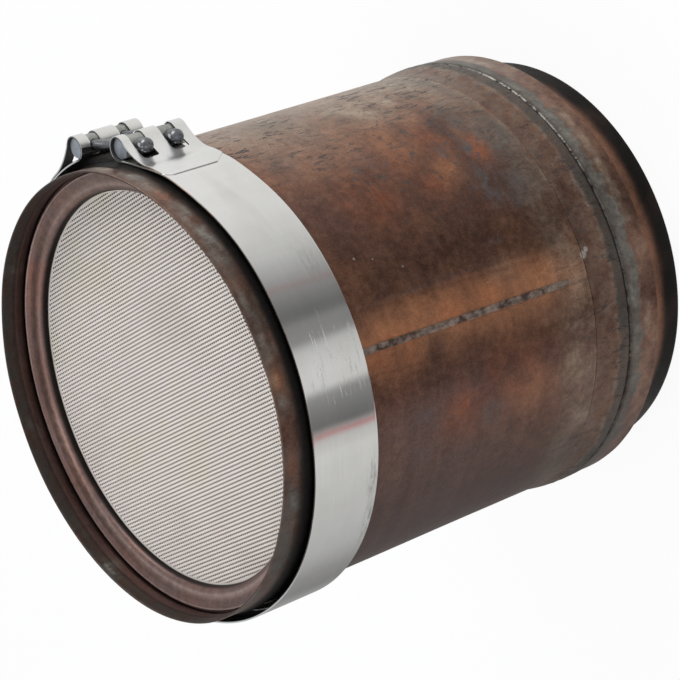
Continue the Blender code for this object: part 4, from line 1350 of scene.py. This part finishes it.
def shade_towards_can(f):
    """Where painted shade darkens the strap: one on its side towards the can, by its middle field, and
    within 8 mm of a bar, inside a loop."""
    middle = f.plus(f.times(f.field("middle"), 0.040), 0.150)
    under = f.sums("SUBTRACT", flat_distance(f, (0.0, 0.0)), middle)
    inner = f.level(under, -0.00025, -0.00042)
    for bar in (TIGHT_BAR, FREE_BAR):
        inner = f.plus(inner, f.level(flat_distance(f, bar), 0.0084, 0.0079), True)
    return inner


def rolled_strap():
    """Bright rolled stainless: fine lines along the strap, scuffs, a faint brown stain, and painted shade
    on its side towards the can.
    """
    f = Finish("rolled_strap")
    lines = f.noise(2600.0, 3.0, 0.6, (0.012, 0.012, 1))
    broad = f.noise(16.0, 4.0, 0.55, (1, 1, 1.6), 0.3)
    smears = f.noise(50.0, 4.0, 0.6, (0.7, 0.7, 1.2), 0.3)
    long_marks = f.noise(620.0, 5.0, 0.74, (0.045, 0.045, 1), 0.35)
    gate = f.level(f.noise(120.0, 3.0, 0.6, (0.5, 0.5, 1)), 0.38, 0.52)
    marks = f.times(f.level(long_marks, 0.560, 0.610), gate)
    scuff = f.times(marks, f.level(f.field("scuffed"), 0.05, 0.5))
    hair = f.times(f.level(f.noise(1500.0, 4.0, 0.7, (0.02, 0.02, 1), 0.2), 0.70, 0.75), 0.30)
    tone = f.plus(f.times(broad, 0.7), f.times(lines, 0.3))
    colour = f.ramp(tone, [(0.35, (0.735, 0.730, 0.705)), (0.65, (0.835, 0.830, 0.810))])
    stain = f.times(f.coat("stained", smears, 0.55), 0.75)
    colour = f.blend(stain, colour, (0.50, 0.43, 0.31))
    smudge = f.coat("smudged", f.noise(420.0, 4.0, 0.7, (0.2, 0.2, 1)), 0.75, 0.05)
    colour = f.blend(smudge, colour, (0.22, 0.21, 0.19))
    colour = f.blend(f.times(f.plus(scuff, hair, True), 0.9), colour, (0.97, 0.97, 0.96))
    # Painted shade, near black, on the side towards the can and inside the loops.
    can_side_shade = shade_towards_can(f)
    colour = f.blend(f.times(can_side_shade, 0.94), colour, (0.020, 0.018, 0.016))
    polish = f.level(broad, 0.3, 0.7, 0.085, 0.125)
    roughness = f.plus(polish, f.plus(f.times(scuff, 0.50), f.times(smudge, 0.4)), True)
    roughness = f.plus(roughness, f.plus(f.times(f.field("fold"), 0.16), f.times(can_side_shade, 0.4)), True)
    height = f.plus(f.times(lines, 0.30), f.plus(f.times(scuff, 0.9), f.times(broad, 0.4)))
    return f.done(colour, roughness, f.relief(height, 0.00005, 0.5), f.level(can_side_shade, 0.0, 1.0, 1.0, 0.6))


def turned_bar():
    """Satin turned steel: blue-grey end faces, a darker grey-green side, fine rings and brown stains."""
    f = Finish("turned_bar")
    rings = f.noise(1800.0, 3.0, 0.6, (0.02, 0.02, 1))
    cloud = f.noise(120.0, 4.0, 0.6)
    height = f.node("ShaderNodeSeparateXYZ", {"Vector": f.place}, "Z")
    away = f.sums("ABSOLUTE", f.plus(height, -BAND_MIDDLE * MM), 0.0)
    end_face = f.level(away, (BAR_HEIGHT / 2 - 0.5) * MM, (BAR_HEIGHT / 2 - 0.2) * MM)
    side = f.ramp(cloud, [(0.35, (0.250, 0.255, 0.235)), (0.65, (0.370, 0.372, 0.345))])
    blue = f.ramp(cloud, [(0.35, (0.290, 0.315, 0.350)), (0.65, (0.380, 0.405, 0.445))])
    colour = f.blend(end_face, side, blue)
    stains = f.times(f.level(f.noise(500.0, 4.0, 0.7), 0.60, 0.70), 0.5)
    colour = f.blend(stains, colour, (0.13, 0.11, 0.09))
    roughness = f.level(cloud, 0.3, 0.7, 0.38, 0.50)
    return f.done(colour, roughness, f.relief(f.plus(rings, cloud), 0.00005, 0.5), 0.75)


def dark_zinc():
    """Dark blue-grey plating on the bolts and nuts, a little uneven, with rubbed brighter spots."""
    f = Finish("dark_zinc")
    cloud = f.noise(160.0, 4.0, 0.6)
    colour = f.ramp(cloud, [(0.35, (0.120, 0.124, 0.130)), (0.65, (0.190, 0.194, 0.202))])
    bright = f.times(f.level(f.noise(700.0, 4.0, 0.7), 0.62, 0.70), 0.35)
    colour = f.blend(bright, colour, (0.33, 0.34, 0.35))
    roughness = f.level(cloud, 0.3, 0.7, 0.27, 0.34)
    return f.done(colour, roughness, f.relief(cloud, 0.00002, 0.3), 0.85)


def bare_ceramic():
    """Extruded honeycomb: pale grey-pink, faintly blotched, each channel a little different, with painted
    shade darkening it inside."""
    f = Finish("bare_ceramic")
    blotch = f.noise(14.0, 4.0, 0.6)
    fine = f.noise(800.0, 3.0, 0.6)
    marks = [(0.35, (0.640, 0.575, 0.525)), (0.50, (0.700, 0.640, 0.595)), (0.66, (0.665, 0.610, 0.515))]
    colour = f.ramp(blotch, marks)
    colour = f.blend(f.level(f.field("tone"), 0.55, 1.0, 0.0, 0.25), colour, (0.57, 0.51, 0.47))
    colour = f.blend(f.level(fine, 0.35, 0.7, 0.0, 0.25), colour, (0.62, 0.56, 0.52))
    # Painted shade: the channels' walls below the face are near black.
    colour = f.blend(f.level(f.field("depth"), 0.0, 0.08), colour, (0.040, 0.032, 0.029))
    return f.done(colour, 0.9, f.relief(fine, 0.0001, 0.6), 0.0)


def fibre_mat():
    """Pressed ceramic fibre: pale, matted, with short crossing threads."""
    f = Finish("fibre_mat")
    threads = f.noise(900.0, 5.0, 0.7, (1, 1, 0.3), 1.5)
    colour = f.ramp(threads, [(0.35, (0.62, 0.58, 0.51)), (0.65, (0.80, 0.77, 0.70))])
    return f.done(colour, 0.95, f.relief(threads, 0.0003, 0.8), 0.0)


# Floor, light and camera


def backdrop_rays(tree):
    """One for camera, glossy and transmission rays, and zero for the rays that carry light."""
    path = tree.nodes.new("ShaderNodeLightPath")
    value = path.outputs["Is Camera Ray"]
    for name in ("Is Glossy Ray", "Is Transmission Ray"):
        made = tree.nodes.new("ShaderNodeMath")
        made.operation = "MAXIMUM"
        tree.links.new(value, made.inputs[0])
        tree.links.new(path.outputs[name], made.inputs[1])
        value = made.outputs[0]
    return value


def bare_material(name):
    """A material with nothing but its output. Gives it, its node tree and the output."""
    material = bpy.data.materials.new(name)
    material.use_nodes = True
    tree = material.node_tree
    tree.nodes.clear()
    return material, tree, tree.nodes.new("ShaderNodeOutputMaterial")


def make_floor():
    """A round pale floor that keeps the object's shadow, under a white backdrop."""
    turn = np.radians(np.arange(0, 360, 3))
    points = np.stack([6000 * np.cos(turn), 6000 * np.sin(turn), 0 * turn], 1)
    floor = new_piece("studio_floor", points, [list(range(len(points)))])
    material, tree, out = bare_material("floor_white")
    mix = tree.nodes.new("ShaderNodeMixShader")
    paper = tree.nodes.new("ShaderNodeBsdfDiffuse")
    paper.inputs["Color"].default_value = (0.84, 0.84, 0.84, 1)
    glow = tree.nodes.new("ShaderNodeEmission")
    glow.inputs["Strength"].default_value = 1.0
    share = tree.nodes.new("ShaderNodeMath")
    share.operation = "MULTIPLY"
    share.inputs[1].default_value = 0.93
    tree.links.new(backdrop_rays(tree), share.inputs[0])
    tree.links.new(share.outputs[0], mix.inputs[0])
    tree.links.new(paper.outputs[0], mix.inputs[1])
    tree.links.new(glow.outputs[0], mix.inputs[2])
    tree.links.new(mix.outputs[0], out.inputs["Surface"])
    floor.data.materials.append(material)


def make_graded_card():
    """A studio card, dark to pale, that lies round the can's foot and is seen only in its polish.

    Seen from the camera's side, the can's wall at an angle mirrors the floor along a line, so the card
    is a fan of those lines, and its shade at each is the (angle, shade) curve below.
    """
    curve = [(60, 0.92), (38, 0.86), (12, 0.84), (0, 0.79), (-8, 0.70), (-14, 0.59), (-20, 0.36)]
    curve += [(-24, 0.25), (-28, 0.16), (-29.5, 0.16), (-31, 0.25), (-35, 0.27), (-37, 0.57)]
    curve += [(-39, 0.62), (-43, 0.70), (-46.5, 0.72), (-48.3, 0.30), (-52, 0.22), (-55.8, 0.16)]
    curve += [(-57.3, 0.52), (-62, 0.70), (-70, 0.65), (-80, 0.56), (-90, 0.49), (-100, 0.31)]
    curve += [(-108, 0.25), (-115, 0.33), (-135, 0.40)]
    marks, shades = np.array(curve[::-1], float).T
    angle = np.linspace(-135, 60, 391)
    faint = 0.014 * ripple(angle * 5, 0 * angle, 101, 60, 40)
    shade = np.interp(angle, marks, shades) * (1 + faint)
    # Two thin pink lines painted into the card, seen as pink reflections on the strap.
    pink_reflection = np.exp(-(((angle + 57.6) / 0.5) ** 2)) + 0.35 * np.exp(-(((angle + 22) / 0.6) ** 2))
    reach = np.array([4.0, 200, 600, 1800])
    heading = np.radians(2 * angle + 34.7)
    start = polar(154.0, angle)
    run = np.stack([np.cos(heading), np.sin(heading)], -1)
    flat = start[:, None, :] + reach[None, :, None] * run[:, None, :]
    points = np.concatenate([flat, np.full((*flat.shape[:2], 1), 0.8)], -1)
    rows = len(reach)
    fields = {"shade": np.repeat(shade[:, None], rows, 1), "pink_reflection": np.repeat(pink_reflection[:, None], rows, 1)}
    card = new_piece("graded_card", points, quads(len(angle), rows, False, False).tolist(), fields)
    material, tree, out = bare_material("card_shade")
    glow = tree.nodes.new("ShaderNodeEmission")
    grey = tree.nodes.new("ShaderNodeAttribute")
    grey.attribute_name = "shade"
    warm = tree.nodes.new("ShaderNodeAttribute")
    warm.attribute_name = "pink_reflection"
    tint = tree.nodes.new("ShaderNodeMix")
    tint.data_type = "RGBA"
    tint.inputs[6].default_value = (1, 1, 1, 1)
    tint.inputs[7].default_value = (1.0, 0.35, 0.35, 1)
    tree.links.new(warm.outputs["Fac"], tint.inputs[0])
    tree.links.new(tint.outputs[2], glow.inputs["Color"])
    tree.links.new(grey.outputs["Fac"], glow.inputs["Strength"])
    tree.links.new(glow.outputs[0], out.inputs["Surface"])
    card.data.materials.append(material)
    card.visible_camera = False
    card.visible_diffuse = False
    card.visible_shadow = False
    card.visible_transmission = False
    card.visible_volume_scatter = False


def make_world():
    """Plain studio air: white to the camera, and a soft grey to everything that it lights."""
    world = bpy.data.worlds.new("studio_air")
    bpy.context.scene.world = world
    world.use_nodes = True
    tree = world.node_tree
    air = tree.nodes["Background"]
    air.inputs["Color"].default_value = (0.93, 0.96, 1.0, 1)
    air.inputs["Strength"].default_value = 0.62
    white = tree.nodes.new("ShaderNodeBackground")
    white.inputs["Color"].default_value = (1, 1, 1, 1)
    white.inputs["Strength"].default_value = 1.0
    path = tree.nodes.new("ShaderNodeLightPath")
    mix = tree.nodes.new("ShaderNodeMixShader")
    tree.links.new(path.outputs["Is Camera Ray"], mix.inputs[0])
    tree.links.new(air.outputs[0], mix.inputs[1])
    tree.links.new(white.outputs[0], mix.inputs[2])
    tree.links.new(mix.outputs[0], tree.nodes["World Output"].inputs["Surface"])


def soft_lamp(name, place, aim, size, power, colour=(1, 1, 1)):
    """A rectangular area lamp at a place, turned towards its aim; both in metres."""
    lamp = bpy.data.lights.new(name, "AREA")
    lamp.shape = "RECTANGLE"
    lamp.size, lamp.size_y = size
    lamp.energy = power
    lamp.color = colour
    obj = bpy.data.objects.new(name, lamp)
    obj.location = place
    obj.rotation_euler = (Vector(aim) - Vector(place)).to_track_quat("-Z", "Y").to_euler()
    bpy.context.scene.collection.objects.link(obj)


def make_lights():
    soft_lamp("key_softbox", (0.95, 1.15, 0.95), (0, 0, 0.2), (1.1, 1.1), 17.0)
    soft_lamp("front_fill", (0.4, -1.5, 1.2), (0, 0, 0.2), (1.2, 1.2), 5.0)
    soft_lamp("overhead", (-0.5, -0.2, 1.9), (0, 0, 0.3), (1.2, 1.2), 9.0)


def make_camera():
    """The photograph's camera: its right, up and backward axes and its place, in metres."""
    data = bpy.data.cameras.new("photo_camera")
    data.sensor_width = 36.0
    data.lens = 139.15
    data.clip_end = 30
    camera = bpy.data.objects.new("photo_camera", data)
    right = (0.25848, -0.59389, -0.76190)
    up = (0.69597, 0.66145, -0.27948)
    backward = (0.66994, -0.45802, 0.58430)
    axes = Matrix((right, up, backward))
    camera.matrix_world = Matrix.Translation((1.20435, -0.83394, 1.24248)) @ axes.transposed().to_4x4()
    bpy.context.scene.collection.objects.link(camera)
    bpy.context.scene.camera = camera
    bpy.context.scene.view_settings.view_transform = "Standard"


def dress(pieces, material):
    for piece in pieces:
        piece.data.materials.clear()
        piece.data.materials.append(material)


def main():
    can = [make_shell(), make_inlet_flange(), make_outlet_collar(), make_outlet_lip(), make_inner_can()]
    can.append(make_retaining_ring("inlet_ring_sheet", "inlet_retaining_ring", BRICK_TOP, 1))
    can.append(make_retaining_ring("outlet_ring_sheet", "outlet_retaining_ring", BRICK_BOTTOM, -1, 1.5))
    ceramic = [make_cell_face("honeycomb_inlet_face", BRICK_TOP, 1, 0)]
    ceramic.append(make_cell_face("honeycomb_outlet_face", BRICK_BOTTOM, -1, 1))
    ceramic.append(make_brick_side())
    bars, fasteners = make_latch()
    dress(can, tinted_steel())
    dress(ceramic, bare_ceramic())
    dress([make_strap(), *make_channels()], rolled_strap())
    dress(bars, turned_bar())
    dress(fasteners, dark_zinc())
    dress([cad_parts["support_mat"]], fibre_mat())
    make_floor()
    make_graded_card()
    make_world()
    make_lights()
    make_camera()


main()
